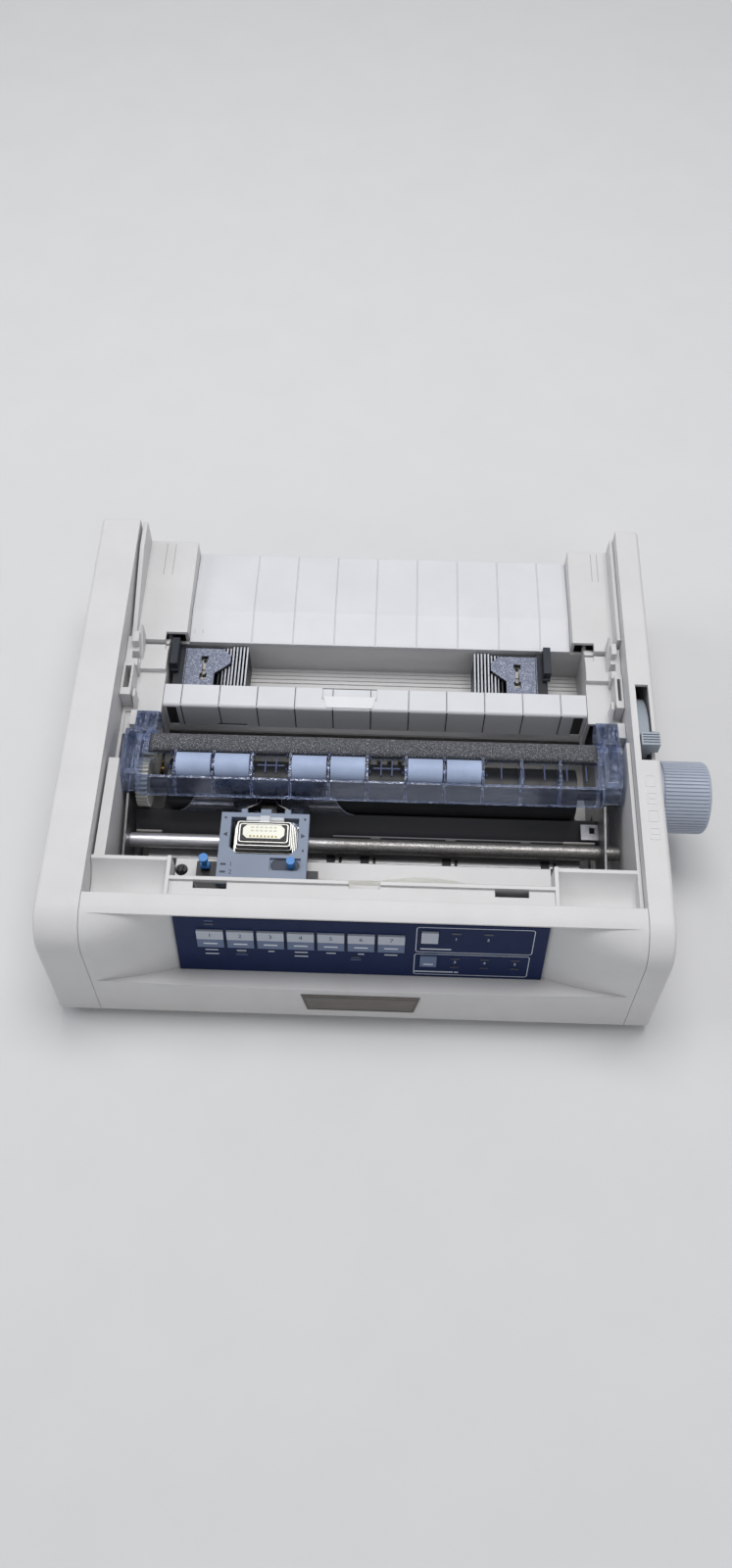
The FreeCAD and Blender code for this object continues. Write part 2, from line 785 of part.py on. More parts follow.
def make_feet():
    feet = []
    for side in ("-", ""):
        for end in ("-", ""):
            feet.append(rod(f"foot_{len(feet) + 1}", "z", "foot_radius", ("0", "foot_height"),
                            f"{side}(case_width / 2 - foot_inset)", f"{end}(case_depth / 2 - foot_inset)"))
    node("rubber_feet", joined("foot_set", *feet))


def pocket(name, left, right):
    """A scooped finger pocket: a sheet bent to an arc, between two cheeks."""
    span = (left, right)
    limits = block(name + "_limits", span, ("deck_front", "pocket_rear"), ("pocket_low", "rim_height"))
    outside = rod(name + "_outside", "x", "pocket_radius + shell_wall", span, "pocket_centre_y",
                  "pocket_centre_z")
    inside = rod(name + "_inside", "x", "pocket_radius", (f"{left} - overrun", f"{right} + overrun"),
                 "pocket_centre_y", "pocket_centre_z")
    sheet = cut(name + "_sheet", shared(name + "_body", limits, outside), inside)
    return sheet


def upper_walls():
    """Rear wall, shelves, side walls, strip, deck and apron of the upper case."""
    rear_band = ("case_rear - shell_wall", "case_rear")
    wall_low = "tray_rear_height"
    pieces = [
        block("rear_wall_left", ("upper_left", "ramp_left"), rear_band, (wall_low, "shelf_height")),
        block("rear_wall_right", ("ramp_right", "upper_right"), rear_band, (wall_low, "shelf_height")),
        block("rear_wall_middle", ("ramp_left", "ramp_right"), rear_band,
              (wall_low, "ramp_rear_height - shell_wall - fit_gap")),
        block("left_shelf", ("upper_left", "ramp_left"), ("shelf_front", "case_rear"),
              ("shelf_height - shell_wall", "shelf_height")),
        block("right_shelf", ("ramp_right", "upper_right"), ("shelf_front", "case_rear"),
              ("shelf_height - shell_wall", "shelf_height")),
        block("left_step", ("ramp_left - shell_wall", "ramp_left"), ("well_rear", "case_rear"),
              ("ramp_rear_height - shell_wall * 3", "shelf_height")),
        block("right_step", ("ramp_right", "ramp_right + shell_wall"), ("well_rear", "case_rear"),
              ("ramp_rear_height - shell_wall * 3", "shelf_height")),
        block("left_skirt", ("upper_left", "upper_left + shell_wall"), ("deck_front", "case_rear"),
              (wall_low, "side_deck_height")),
        block("right_skirt", ("upper_right - shell_wall", "upper_right"), ("deck_front", "case_rear"),
              (wall_low, "side_deck_height")),
        outline_body("left_rail", "YZ_Plane", [
            ("case_rear", "side_deck_height - shell_wall"),
            ("case_rear", "case_height - edge_round"),
            ("case_rear - shelf_depth / 4", "case_height - edge_round"),
            ("shelf_front", "shelf_height + edge_round"),
            ("shelf_front", "side_deck_height - shell_wall"),
        ], "upper_left + groove_width", "upper_left + groove_width + post_wall * 2"),
        block("right_rail", ("upper_right - shell_wall", "upper_right"), ("shelf_front", "case_rear"),
              ("side_deck_height", "rim_height")),
        block("right_rim", ("upper_right - shell_wall", "upper_right"), ("deck_front", "right_rim_rear"),
              ("side_deck_height - shell_wall / 2", "rim_height")),
        block("left_strip", ("strip_left", "strip_right"), ("pocket_rear - shell_wall", "strip_rear"),
              ("rim_height - shell_wall", "rim_height")),
        block("left_cavity_wall", ("strip_right - shell_wall", "strip_right"),
              ("pocket_rear - shell_wall", "strip_rear"), (wall_low, "rim_height")),
        block("left_cavity_foot", ("upper_left", "strip_right"), ("deck_front", "strip_rear"),
              (wall_low, f"{wall_low} + shell_wall")),
    ]
    pieces += [
        block("deck", ("left_pocket_end - shell_wall", "right_pocket_start + shell_wall"),
              ("deck_front", "deck_rear"), ("rim_height - shell_wall", "rim_height")),
        block("front_wall", ("left_pocket_end - shell_wall", "right_pocket_start + shell_wall"),
              ("deck_rear", "deck_rear + shell_wall"), ("apron_height - shell_wall", "rim_height + rim_lip")),
        block("apron", ("left_pocket_end - shell_wall", "right_pocket_start + shell_wall"),
              ("deck_rear", "apron_rear"), ("apron_height - shell_wall", "apron_height")),
        block("left_pocket_cheek", ("left_pocket_end - shell_wall", "left_pocket_end"),
              ("deck_front", "pocket_rear"), ("pocket_low", "rim_height + rim_lip")),
        block("right_pocket_cheek", ("right_pocket_start", "right_pocket_start + shell_wall"),
              ("deck_front", "pocket_rear"), ("pocket_low", "rim_height + rim_lip")),
    ]
    return pieces


def side_decks():
    """The stepped ledges beside the tractors and the roller unit."""
    low = "side_deck_height - shell_wall"
    pieces = []
    for side, outer, inner in (("left", "upper_left", "well_left"), ("right", "upper_right", "well_right")):
        span = (outer, inner) if side == "left" else (inner, outer)
        pieces.append(block(f"{side}_ledge", span, ("unit_bracket_rear + overrun", "shelf_front + overrun"),
                            (low, "side_deck_height")))
        inset = (span[0], f"{span[1]} - edge_round")
        if side == "left":
            inset = (f"{span[0]} + left_post_width", span[1])
        pieces.append(block(f"{side}_block", inset,
                            ("bridge_rear + overrun * 1.6", "shelf_front - fit_gap * 6"),
                            ("side_deck_height - shell_wall / 2", "block_height")))
        pieces.append(block(f"{side}_shelf_face", span, ("shelf_front", "shelf_front + shell_wall"),
                            ("side_deck_height", "shelf_height")))
    return pieces


def make_well():
    """The well that the tractors sit in, hung under the ledges of the upper case."""
    span = ("well_left", "well_right")
    rear = block("well_rear_wall", span, ("well_rear - shell_wall", "well_rear"),
                 ("well_floor", "ramp_front_height - shell_wall - fit_gap"))
    floor = block("well_bottom", span, ("bridge_front + shell_wall + fit_gap", "well_rear"),
                  ("well_floor - shell_wall", "well_floor"))
    ends = []
    for number in range(int(size("floor_rib_count"))):
        rear_edge = f"floor_rib_rear - {number} * floor_rib_pitch"
        ends.append(block(f"well_floor_rib_{number + 1}", ("well_left", "well_right"),
                          (f"{rear_edge} - floor_rib", rear_edge),
                          ("well_floor - floor_rib", "well_floor + floor_rib")))
    for side, low, high in (("left", "well_left - shell_wall", "well_left"),
                            ("right", "well_right", "well_right + shell_wall")):
        ends.append(block(f"well_{side}_end", (low, high),
                          ("bridge_front - shell_wall", "well_rear + shell_wall"),
                          ("well_floor - shell_wall", "side_deck_height - shell_wall")))
    solid = joined("well_walls", rear, floor, *ends)
    across = ("well_left - overrun", "well_right + overrun")
    holes = [
        rod("well_drive_holes", "x", "tractor_bar * 0.8", across, "tractor_y", "tractor_z"),
        rod("well_rod_holes", "x", "tractor_rod_radius + bearing_gap", across, "tractor_rod_y",
            "tractor_rod_z"),
    ]
    node("tractor_well", cut("tractor_well_cut", solid, *holes))


def cover_posts():
    """Posts beside the roller unit: its pivot bearings and the hinge sockets of the lift-off cover."""
    pieces = []
    for side in ("left", "right"):
        left = side == "left"

        def across(start, end):
            """A span measured inwards from this side's outer edge."""
            if left:
                return (f"upper_left + ({start})", f"upper_left + ({end})")
            return (f"upper_right - ({end})", f"upper_right - ({start})")
        width = f"{side}_post_width"
        bearing = ("unit_right + fit_gap", "upper_right")
        if left:
            bearing = ("upper_left", "left_frame_x - fit_gap")
        base = "side_deck_height - shell_wall / 2"
        pieces.append(block(f"{side}_bearing_base", bearing,
                            ("unit_pivot_y - pivot_radius * 2", "unit_bracket_rear + overrun * 1.5"),
                            ("tray_rear_height", base)))
        neck = bearing
        if left:
            neck = ("left_bracket_left - fit_gap - pivot_radius * 1.6", "left_bracket_left - fit_gap")
        pieces.append(block(f"{side}_bearing_post", neck,
                            ("unit_pivot_y - pivot_radius * 2", "unit_pivot_y + pivot_radius * 2"),
                            ("side_deck_height - shell_wall * 0.8", "unit_pivot_z + pivot_radius * 2")))
        socket = block(f"{side}_socket_post", across("0", width), ("post_middle", "post_rear"),
                       (base, "post_top - post_wall"))
        hole = block(f"{side}_socket_hole", across(f"{width} / 2", f"{width} + overrun"),
                     ("post_middle + overrun", "post_middle + overrun * 2"),
                     ("side_deck_height + overrun", "post_top + overrun"))
        pieces.append(cut(f"{side}_cover_socket", socket, hole))
        pieces.append(block(f"{side}_socket_step", across(f"{width} / 2", width),
                            ("post_rear - overrun * 1.5", "post_rear"),
                            ("post_top - post_wall * 2", "blade_top")))
        pieces.append(outline_body(f"{side}_socket_blade", "YZ_Plane", [
            ("post_middle + overrun", base),
            ("post_rear + overrun", base),
            ("post_rear + overrun", "blade_top"),
        ], *across(width, f"{width} + post_wall")))
        frame = block(f"{side}_socket_frame", across("0", f"{width} - post_wall"),
                      ("post_front", "post_middle + post_wall"), (base, "post_top"))
        frame_hole = block(f"{side}_frame_hole", across("post_wall", f"{width} - post_wall * 2"),
                           ("post_front + overrun", "post_middle - post_wall"),
                           ("side_deck_height", "post_top + overrun"))
        pieces.append(cut(f"{side}_frame", frame, frame_hole))
        pieces.append(outline_body(f"{side}_gusset", "YZ_Plane", [
            ("unit_bracket_rear + post_wall", base),
            ("post_front + overrun", base),
            ("post_front + overrun", "post_top - post_wall"),
            ("post_front", "post_top - post_wall"),
        ], *across(width, f"{width} + post_wall")))
    return pieces


def screw_bosses():
    bosses = []
    for label, x, y in screw_places():
        top = "shelf_height - shell_wall / 2" if "rear" in label else "pocket_low + shell_wall / 2"
        bosses.append(rod(f"boss_{label}", "z", "boss_radius", ("tray_top + fit_gap", top), x, y))
    return bosses


def make_upper_case():
    """The light moulding between the side covers."""
    pieces = upper_walls() + side_decks() + cover_posts() + screw_bosses()
    pieces.append(pocket("left_pocket", "upper_left", "left_pocket_end"))
    pieces.append(pocket("right_pocket", "right_pocket_start", "upper_right"))
    solid = joined("upper_case_walls", *pieces)
    tools = [
        block("left_shelf_notch", ("ramp_left - shelf_notch_width", "ramp_left + overrun"),
              ("shelf_front - overrun", "shelf_front + shelf_notch_depth"),
              ("shelf_height - shell_wall * 2", "shelf_height + overrun")),
        block("right_shelf_notch", ("ramp_right - overrun", "ramp_right + shelf_notch_width"),
              ("shelf_front - overrun", "shelf_front + shelf_notch_depth"),
              ("shelf_height - shell_wall * 2", "shelf_height + overrun")),
        block("left_deck_opening", ("left_pocket_end + deck_depth + shell_wall / 2",
                                    "left_pocket_end + deck_depth + shell_wall / 2 + deck_slot_width"),
              ("deck_rear - deck_slot_depth", "deck_rear"),
              ("rim_height - overrun", "rim_height + overrun")),
        block("left_wall_window", ("left_pocket_end + deck_depth + shell_wall / 2",
                                   "left_pocket_end + deck_depth + shell_wall / 2 + deck_slot_width"),
              ("deck_rear - overrun", "deck_rear + shell_wall + overrun"),
              ("apron_height + shell_wall", "rim_height - shell_wall")),
        rod("apron_hole", "z", "deck_hole_radius", ("apron_height - overrun", "apron_height + overrun"),
            "left_pocket_end + post_wall", "apron_rear - deck_hole_radius * 2"),
        block("deck_notch", ("(cover_left_inner + cover_right_inner) / 2 - notch_width / 2",
                             "(cover_left_inner + cover_right_inner) / 2 + notch_width / 2"),
              ("deck_rear - rim_lip", "deck_rear + shell_wall + overrun"),
              ("rim_height - shell_wall * 2", "rim_height + overrun")),
        block("right_deck_opening", ("right_pocket_start - deck_depth - shell_wall - deck_slot_width",
                                     "right_pocket_start - deck_depth - shell_wall"),
              ("deck_rear - deck_slot_depth", "deck_rear"),
              ("rim_height - overrun", "rim_height + overrun")),
        rod("left_pivot_hole", "x", "pivot_radius + bearing_gap",
            ("left_bracket_left - pivot_radius * 1.4", "left_bracket_left + overrun"),
            "unit_pivot_y", "unit_pivot_z"),
        rod("right_pivot_hole", "x", "pivot_radius + bearing_gap",
            ("unit_right - overrun", "unit_right + pivot_radius"), "unit_pivot_y", "unit_pivot_z"),
        rod("right_skirt_shaft_hole", "x", "shaft_radius * 2",
            ("unit_right - overrun", "case_right"), "platen_y", "platen_z"),
    ]
    for label, x, y in screw_places():
        tools.append(rod(f"boss_hole_{label}", "z", "screw_radius + bearing_gap",
                         ("tray_low", "screw_length + overrun"), x, y))
    node("upper_case", cut("upper_case_cut", solid, *tools))


def make_ramp():
    """The sloping rear paper guide, with its long grooves."""
    under = "shell_wall"
    corners = [
        ("case_rear", f"ramp_rear_height - {under}"),
        ("case_rear", "ramp_rear_height"),
        ("ramp_fold", "ramp_fold_height"),
        ("ramp_front", "ramp_front_height"),
        ("well_rear - shell_wall", "ramp_front_height"),
        ("well_rear - shell_wall", f"ramp_front_height - {under}"),
        ("ramp_front", f"ramp_front_height - {under}"),
        ("ramp_fold", f"ramp_fold_height - {under}"),
    ]
    span = ("ramp_left + fit_gap", "ramp_right - fit_gap")
    body = outline_body("ramp", "YZ_Plane", corners, *span)
    grooves = []
    drop = "groove_cut_depth"
    for number in range(int(size("ramp_groove_count"))):
        place = f"(ramp_left + ramp_groove_first + {number} * ramp_groove_pitch)"
        outline = [
            ("case_rear + overrun", f"ramp_rear_height - {drop}"),
            ("case_rear + overrun", "ramp_fold_height + overrun"),
            ("well_rear - overrun", "ramp_fold_height + overrun"),
            ("well_rear - overrun", f"ramp_front_height - {drop}"),
            ("ramp_front", f"ramp_front_height - {drop}"),
            ("ramp_fold", f"ramp_fold_height - {drop}"),
            ("case_rear", f"ramp_rear_height - {drop}"),
        ]
        grooves.append(outline_body(f"ramp_groove_{number + 1}", "YZ_Plane", outline,
                                    f"{place} - groove_cut_width / 2", f"{place} + groove_cut_width / 2"))
    node("rear_paper_guide", cut("ramp_cut", body, *grooves))


def make_bridge():
    """The paper guide between the tractors and the platen."""
    corners = [
        ("bridge_front", "bridge_foot"),
        ("bridge_front", "bridge_height"),
        ("bridge_rear", "bridge_height"),
        ("bridge_rear", "bridge_height - shell_wall * 2"),
        ("bridge_rear - shell_wall", "bridge_height - shell_wall * 2"),
        ("bridge_rear - shell_wall", "bridge_height - shell_wall"),
        ("bridge_front + shell_wall", "bridge_height - shell_wall"),
        ("bridge_front + shell_wall", "bridge_foot"),
    ]
    body = outline_body("bridge", "YZ_Plane", corners, "well_left + fit_gap", "well_right - fit_gap")
    front, top = size("bridge_front"), size("bridge_height")
    rounded(body, "bridge_nose", "min(bridge_round; shell_wall)", lambda edge: lies_at(edge, y=front, z=top))
    tools = []
    for number in range(int(size("bridge_groove_count"))):
        place = f"(bridge_left + bridge_groove_first + {number} * bridge_groove_pitch)"
        side = (f"{place} - groove_cut_width / 2", f"{place} + groove_cut_width / 2")
        tools.append(block(f"bridge_top_groove_{number + 1}", side,
                           ("bridge_front - overrun", "bridge_rear + overrun"),
                           ("bridge_height - groove_cut_depth", "bridge_height + overrun")))
        tools.append(block(f"bridge_front_groove_{number + 1}", side,
                           ("bridge_front - overrun", "bridge_front + groove_cut_depth"),
                           ("bridge_foot - overrun", "bridge_height + overrun")))
    for side, edge in (("left", "well_left + shell_wall"),
                       ("right", "well_right - shell_wall - bridge_slot_width")):
        tools.append(block(f"bridge_{side}_slot", (edge, f"{edge} + bridge_slot_width"),
                           ("bridge_front - overrun", "bridge_front + shell_wall + fit_gap"),
                           ("bridge_foot - overrun", "bridge_height - shell_wall")))
    flap = ("paper_centre - flap_width / 2 - bridge_depth", "paper_centre + flap_width / 2 - bridge_depth")
    tools.append(block("flap_recess", flap, (f"bridge_rear - bridge_depth * {FLAP_DEPTH_SHARE}",
                                             "bridge_rear + overrun"),
                       ("bridge_height - groove_cut_depth * 2", "bridge_height + overrun")))
    node("middle_paper_guide", cut("bridge_cut", body, *tools))


# Front cover and its panel


def front_face_y(height):
    """The leaning front face with its rounded top edge."""
    lean = size("front_lean") / size("front_rise")
    radius = size("front_round")
    centre_z = size("case_height") - radius
    flat = size("case_front") + (height - size("skirt_height")) * lean
    if height <= centre_z:
        return flat
    face_at_centre = size("case_front") + (centre_z - size("skirt_height")) * lean
    centre_y = face_at_centre + radius * math.sqrt(1 + lean ** 2)
    return max(flat, centre_y - math.sqrt(max(radius ** 2 - (height - centre_z) ** 2, 0)))


def wing_wire(height):
    """One level of the recess: flat along the panel, then arcs that run out to the front face."""
    left, right = size("panel_left"), size("panel_right")
    margin = size("wing_margin")
    ends = (size("upper_left") + margin, size("upper_right") - margin)
    panel_y = size("panel_low_y") + (height - size("panel_low_height")) * size("panel_lean")
    end_y = front_face_y(height) - size("fit_gap")
    deep = panel_y + size("overrun") * 2
    out = size("case_front") - size("overrun") * 4

    def point(x, y):
        return FreeCAD.Vector(x, y, height)

    def arc(panel_x, end_x):
        middle_x = (panel_x + end_x) / 2
        middle_y = panel_y + (end_y - panel_y) * WING_SHARE
        return Part.Arc(point(panel_x, panel_y), point(middle_x, middle_y), point(end_x, end_y)).toShape()

    def line(first, second):
        return Part.LineSegment(point(*first), point(*second)).toShape()
    return Part.Wire([
        line((left, deep), (right, deep)),
        line((right, deep), (right, panel_y)),
        arc(right, ends[1]),
        line((ends[1], end_y), (ends[1], out)),
        line((ends[1], out), (ends[0], out)),
        line((ends[0], out), (ends[0], end_y)),
        arc(left, ends[0]),
        line((left, panel_y), (left, deep)),
    ])


def section_wire(x, lip):
    """The recess in side view, with its own lip height."""
    out = size("case_front") - size("overrun") * 3
    points = [
        (size("brow_y"), size("case_height") + size("overrun")),
        (size("brow_y"), size("brow_height")),
        (size("panel_top_y"), size("panel_top_height")),
        (size("panel_low_y"), size("panel_low_height")),
        (size("case_front"), lip),
        (out, lip + size("fit_gap")),
        (out, size("case_height") + size("overrun")),
    ]
    return Part.makePolygon([FreeCAD.Vector(x, y, z) for y, z in points + points[:1]])


def make_fascia():
    """The front cover: a rounded brow over a sunken sloping panel with swept ends."""
    corners = [
        ("seam_y", "rim_height - overrun"),
        ("seam_y", "case_height"),
        ("front_corner", "case_height"),
        ("case_front", "skirt_height"),
        ("case_front + shell_wall + tray_front_inset * 3", "skirt_height"),
    ]
    skin = outline_body("fascia_skin", "YZ_Plane", corners, "upper_left", "upper_right")
    corner, top = size("front_corner"), size("case_height")
    rounded(skin, "fascia_round", "front_round", lambda edge: lies_at(edge, y=corner, z=top))
    middle = (size("panel_left") + size("panel_right")) / 2
    reach = size("upper_right") + size("overrun") - middle
    stations = []
    for share in LIP_STATION_SHARES:
        lip = size("lip_height") + size("lip_bow") * share ** 2
        stations.append(section_wire(middle + reach * share, lip))
    section = coded("recess_section", Part.makeLoft(stations, True, False))
    levels = []
    for share in WING_LEVEL_SHARES:
        levels.append(wing_wire(size("case_height") * share))
    wings = coded("recess_wings", Part.makeLoft(levels, True, False))
    recess = shared("recess", section, wings)
    hollow = outline_body("fascia_hollow", "YZ_Plane", [
        ("seam_y + overrun", "0"),
        ("seam_y + overrun", "rim_height - overrun - shell_wall"),
        ("panel_top_y + panel_backing", "rim_height - overrun - shell_wall"),
        ("panel_low_y + panel_backing", "panel_low_height"),
        ("panel_low_y + panel_backing", "panel_low_height - shell_wall"),
        ("case_front + shell_wall * 2", "panel_low_height - shell_wall"),
        ("case_front + shell_wall", "skirt_height"),
        ("case_front + shell_wall", "0"),
    ], "upper_left + shell_wall", "upper_right - shell_wall")
    row_end = "panel_left + key_first + (key_count - 1) * key_pitch + key_width"
    well_span = ("panel_left + key_first - key_flange * 2", f"{row_end} + key_flange * 2")
    wells = [panel_block("key_well", well_span,
                         ("panel_slope - key_down - key_height - key_flange * 2",
                          "panel_slope - key_down + key_flange * 2"), ("-overrun * 2", "overrun"))]
    for number in range(int(size("small_key_count"))):
        wells.append(panel_block(f"small_key_well_{number + 1}", *small_key_span(number, "key_flange * 2"),
                                 ("-overrun * 2", "overrun")))
    node("front_fascia", cut("fascia", skin, recess, hollow, *wells))


def tilted_block(name, base_y, base_z, cosine, sine, x, up, out):
    """A box on a sloping face: up runs up the slope and out along the face's normal."""
    box = doc.addObject("Part::Box", name)
    box.Placement = FreeCAD.Placement(FreeCAD.Vector(), FreeCAD.Rotation(FreeCAD.Vector(1, 0, 0), 90))
    for side, (low, high) in zip(("Length", "Width", "Height"), (x, up, out)):
        bind(box, side, f"({high}) - ({low})")
    bind(box, "Placement.Rotation.Angle", f"atan(({sine}) / ({cosine}))")
    bind(box, "Placement.Base.x", x[0])
    bind(box, "Placement.Base.y", f"{base_y} + ({up[0]}) * {cosine} - ({out[0]}) * {sine}")
    bind(box, "Placement.Base.z", f"{base_z} + ({up[0]}) * {sine} + ({out[0]}) * {cosine}")
    return box


def panel_block(name, x, up, out):
    return tilted_block(name, "panel_low_y", "panel_low_height", "panel_cos", "panel_sin", x, up, out)


def key_span(number, grow):
    left = f"panel_left + key_first + {number} * key_pitch"
    low = "panel_slope - key_down - key_height"
    return ((f"{left} - ({grow})", f"{left} + key_width + ({grow})"),
            (f"{low} - ({grow})", f"{low} + key_height + ({grow})"))


def small_key_span(number, grow):
    left = "panel_left + small_key_first"
    low = f"panel_slope - small_key_down - small_key_size - {number} * small_key_step"
    return ((f"{left} - ({grow})", f"{left} + small_key_size + ({grow})"),
            (f"{low} - ({grow})", f"{low} + small_key_size + ({grow})"))


def make_panel():
    """The flat panel overlay with its key openings."""
    plate = panel_block("panel_plate", ("panel_left + fit_gap", "panel_right - fit_gap"),
                        ("fit_gap * 3", "panel_slope - fit_gap"), ("bearing_gap", "panel_thickness"))
    holes = []
    for number in range(int(size("key_count"))):
        holes.append(panel_block(f"key_hole_{number + 1}", *key_span(number, "fit_gap"),
                                 ("-overrun", "overrun")))
    for number in range(int(size("small_key_count"))):
        holes.append(panel_block(f"small_key_hole_{number + 1}", *small_key_span(number, "fit_gap"),
                                 ("-overrun", "overrun")))
    node("operator_panel", cut("panel", plate, *holes))


def key(label, span_of, number):
    """A key cap that passes through the panel, held behind it by a flange."""
    cap = panel_block(label + "_cap", *span_of(number, "0"),
                      ("-key_flange / 2", "panel_thickness + key_proud"))
    flange = panel_block(label + "_flange", *span_of(number, "key_flange - fit_gap"),
                         ("-key_flange - bearing_gap", "-bearing_gap"))
    node(label, joined(label + "_solid", cap, flange))


def make_keys():
    for number in range(int(size("key_count"))):
        key(f"panel_key_{number + 1}", key_span, number)
    for number, label in enumerate(("quality_key", "pitch_key")):
        key(label, small_key_span, number)


def make_name_plate():
    """A bare trapezoid plate on the leaning front face."""
    face = outline_body("name_plate_body", "XY_Plane", [
        ("plate_x - plate_low_width / 2", "0"),
        ("plate_x + plate_low_width / 2", "0"),
        ("plate_x + plate_top_width / 2", "plate_height"),
        ("plate_x - plate_top_width / 2", "plate_height"),
    ], "0", "plate_thickness")
    rounded(face, "name_plate_edge", "plate_thickness / 3",
            lambda edge: all(near(vertex.Point.z, size("plate_thickness")) for vertex in edge.Vertexes))
    face.Placement = FreeCAD.Placement(FreeCAD.Vector(), FreeCAD.Rotation(FreeCAD.Vector(1, 0, 0), 90))
    bind(face, "Placement.Rotation.Angle", "atan(front_sin / front_cos)")
    bind(face, "Placement.Base.y", "case_front + (plate_low - skirt_height) * front_cos / front_sin")
    bind(face, "Placement.Base.z", "plate_low")
    node("name_plate", face)


# Platen and the gear train


def toothed_outline(teeth, root, tip, root_share, tip_share, centre, turn=0.0):
    """A closed ring of straight-sided teeth in the YZ plane at X zero."""
    points = []
    pitch = 2 * math.pi / teeth
    for tooth in range(int(teeth)):
        middle = turn + tooth * pitch
        for radius, offset in ((root, -root_share), (tip, -tip_share), (tip, tip_share), (root, root_share)):
            angle = middle + offset * pitch / 2
            points.append(FreeCAD.Vector(0, centre[0] + radius * math.cos(angle),
                                         centre[1] + radius * math.sin(angle)))
    return Part.makePolygon(points + points[:1])


def toothed_wheel(teeth, centre, low, high, turn):
    """A spur gear's body from low to high along X."""
    unit = size("module_size")
    pitch_radius = unit * teeth / 2
    slack = size("gear_backlash") / (math.pi * unit)
    root, tip = pitch_radius - unit * TOOTH_ROOT_SHARE, pitch_radius + unit * TOOTH_TIP_SHARE
    outline = toothed_outline(teeth, root, tip, ROOT_WIDTH_SHARE - slack, TIP_WIDTH_SHARE, centre, turn)
    wheel = Part.Face(outline).extrude(FreeCAD.Vector(high - low, 0, 0))
    wheel.translate(FreeCAD.Vector(low, 0, 0))
    return wheel


def x_rod(radius, low, high, centre):
    return Part.makeCylinder(radius, high - low, FreeCAD.Vector(low, *centre), FreeCAD.Vector(1, 0, 0))


def gear_centres():
    """The platen, two idlers, the tractor gear and the motor pinion, each in mesh with the last."""
    unit = size("module_size")
    platen = (size("platen_y"), size("platen_z"))
    tractor = (size("tractor_y"), size("tractor_z"))
    first_reach = unit * (size("platen_teeth") + size("idler_teeth")) / 2
    drop = size("idler_drop")
    first = (platen[0] + math.sqrt(first_reach ** 2 - drop ** 2), platen[1] - drop)
    between = unit * size("idler_teeth")
    last_reach = unit * (size("idler_teeth") + size("tractor_teeth")) / 2
    run, rise = tractor[0] - first[0], tractor[1] - first[1]
    distance = math.hypot(run, rise)
    along = (between ** 2 - last_reach ** 2 + distance ** 2) / (2 * distance)
    below = math.sqrt(between ** 2 - along ** 2)
    second = (first[0] + (along * run + below * rise) / distance,
              first[1] + (along * rise - below * run) / distance)
    motor_reach = unit * (size("idler_teeth") + size("pinion_teeth")) / 2
    motor = (first[0], first[1] - motor_reach)
    return {"platen": platen, "first": first, "second": second, "tractor": tractor, "motor": motor}


def meshed_turn(centre, turn, teeth, other, other_teeth):
    """The turn that sets a gap of the other wheel against a tooth of this one."""
    line = math.atan2(other[1] - centre[1], other[0] - centre[0])
    phase = (line - turn) * teeth / (2 * math.pi)
    other_phase = -phase + 0.5
    return line + math.pi - other_phase * 2 * math.pi / other_teeth


def make_gears():
    """The gear train; returns its centres and the gear of the tractor drive shaft."""
    centres = gear_centres()
    low, high = size("gear_left"), size("gear_right")
    bore = size("axle_radius") + size("bearing_gap")
    platen_turn = 0.0
    first_turn = meshed_turn(centres["platen"], platen_turn, size("platen_teeth"), centres["first"],
                             size("idler_teeth"))
    second_turn = meshed_turn(centres["first"], first_turn, size("idler_teeth"), centres["second"],
                              size("idler_teeth"))
    tractor_turn = meshed_turn(centres["second"], second_turn, size("idler_teeth"), centres["tractor"],
                               size("tractor_teeth"))
    motor_turn = meshed_turn(centres["first"], first_turn, size("idler_teeth"), centres["motor"],
                             size("pinion_teeth"))
    platen = toothed_wheel(size("platen_teeth"), centres["platen"], low, high, platen_turn)
    platen = platen.cut(x_rod(size("shaft_radius") + size("bearing_gap"), low - high + low, high - low + high,
                              centres["platen"]))
    node("platen_gear", coded("platen_gear_solid", platen))
    for label, where, turn in (("idler_gear_front", "first", first_turn),
                               ("idler_gear_rear", "second", second_turn)):
        wheel = toothed_wheel(size("idler_teeth"), centres[where], low, high, turn)
        wheel = wheel.cut(x_rod(bore, low - size("overrun"), high + size("overrun"), centres[where]))
        node(label, coded(label + "_solid", wheel))
    pinion = toothed_wheel(size("pinion_teeth"), centres["motor"], low, high, motor_turn)
    stub = x_rod(size("axle_radius"), high - size("gear_width") / 2, high + size("gear_width") / 2,
                 centres["motor"])
    node("motor_pinion", coded("motor_pinion_solid", pinion.fuse(stub)))
    drive_gear = toothed_wheel(size("tractor_teeth"), centres["tractor"], low, high, tractor_turn)
    return centres, drive_gear


def make_platen():
    ends = ("shaft_end + fit_gap", "knob_outer - knob_round - knob_flange_width")
    shaft = rod("platen_core", "x", "shaft_radius", ends, "platen_y", "platen_z")
    rubber = rod("platen_rubber", "x", "platen_radius", ("platen_left", "platen_right"),
                 "platen_y", "platen_z")
    node("platen_roller", joined("platen_solid", shaft, rubber))


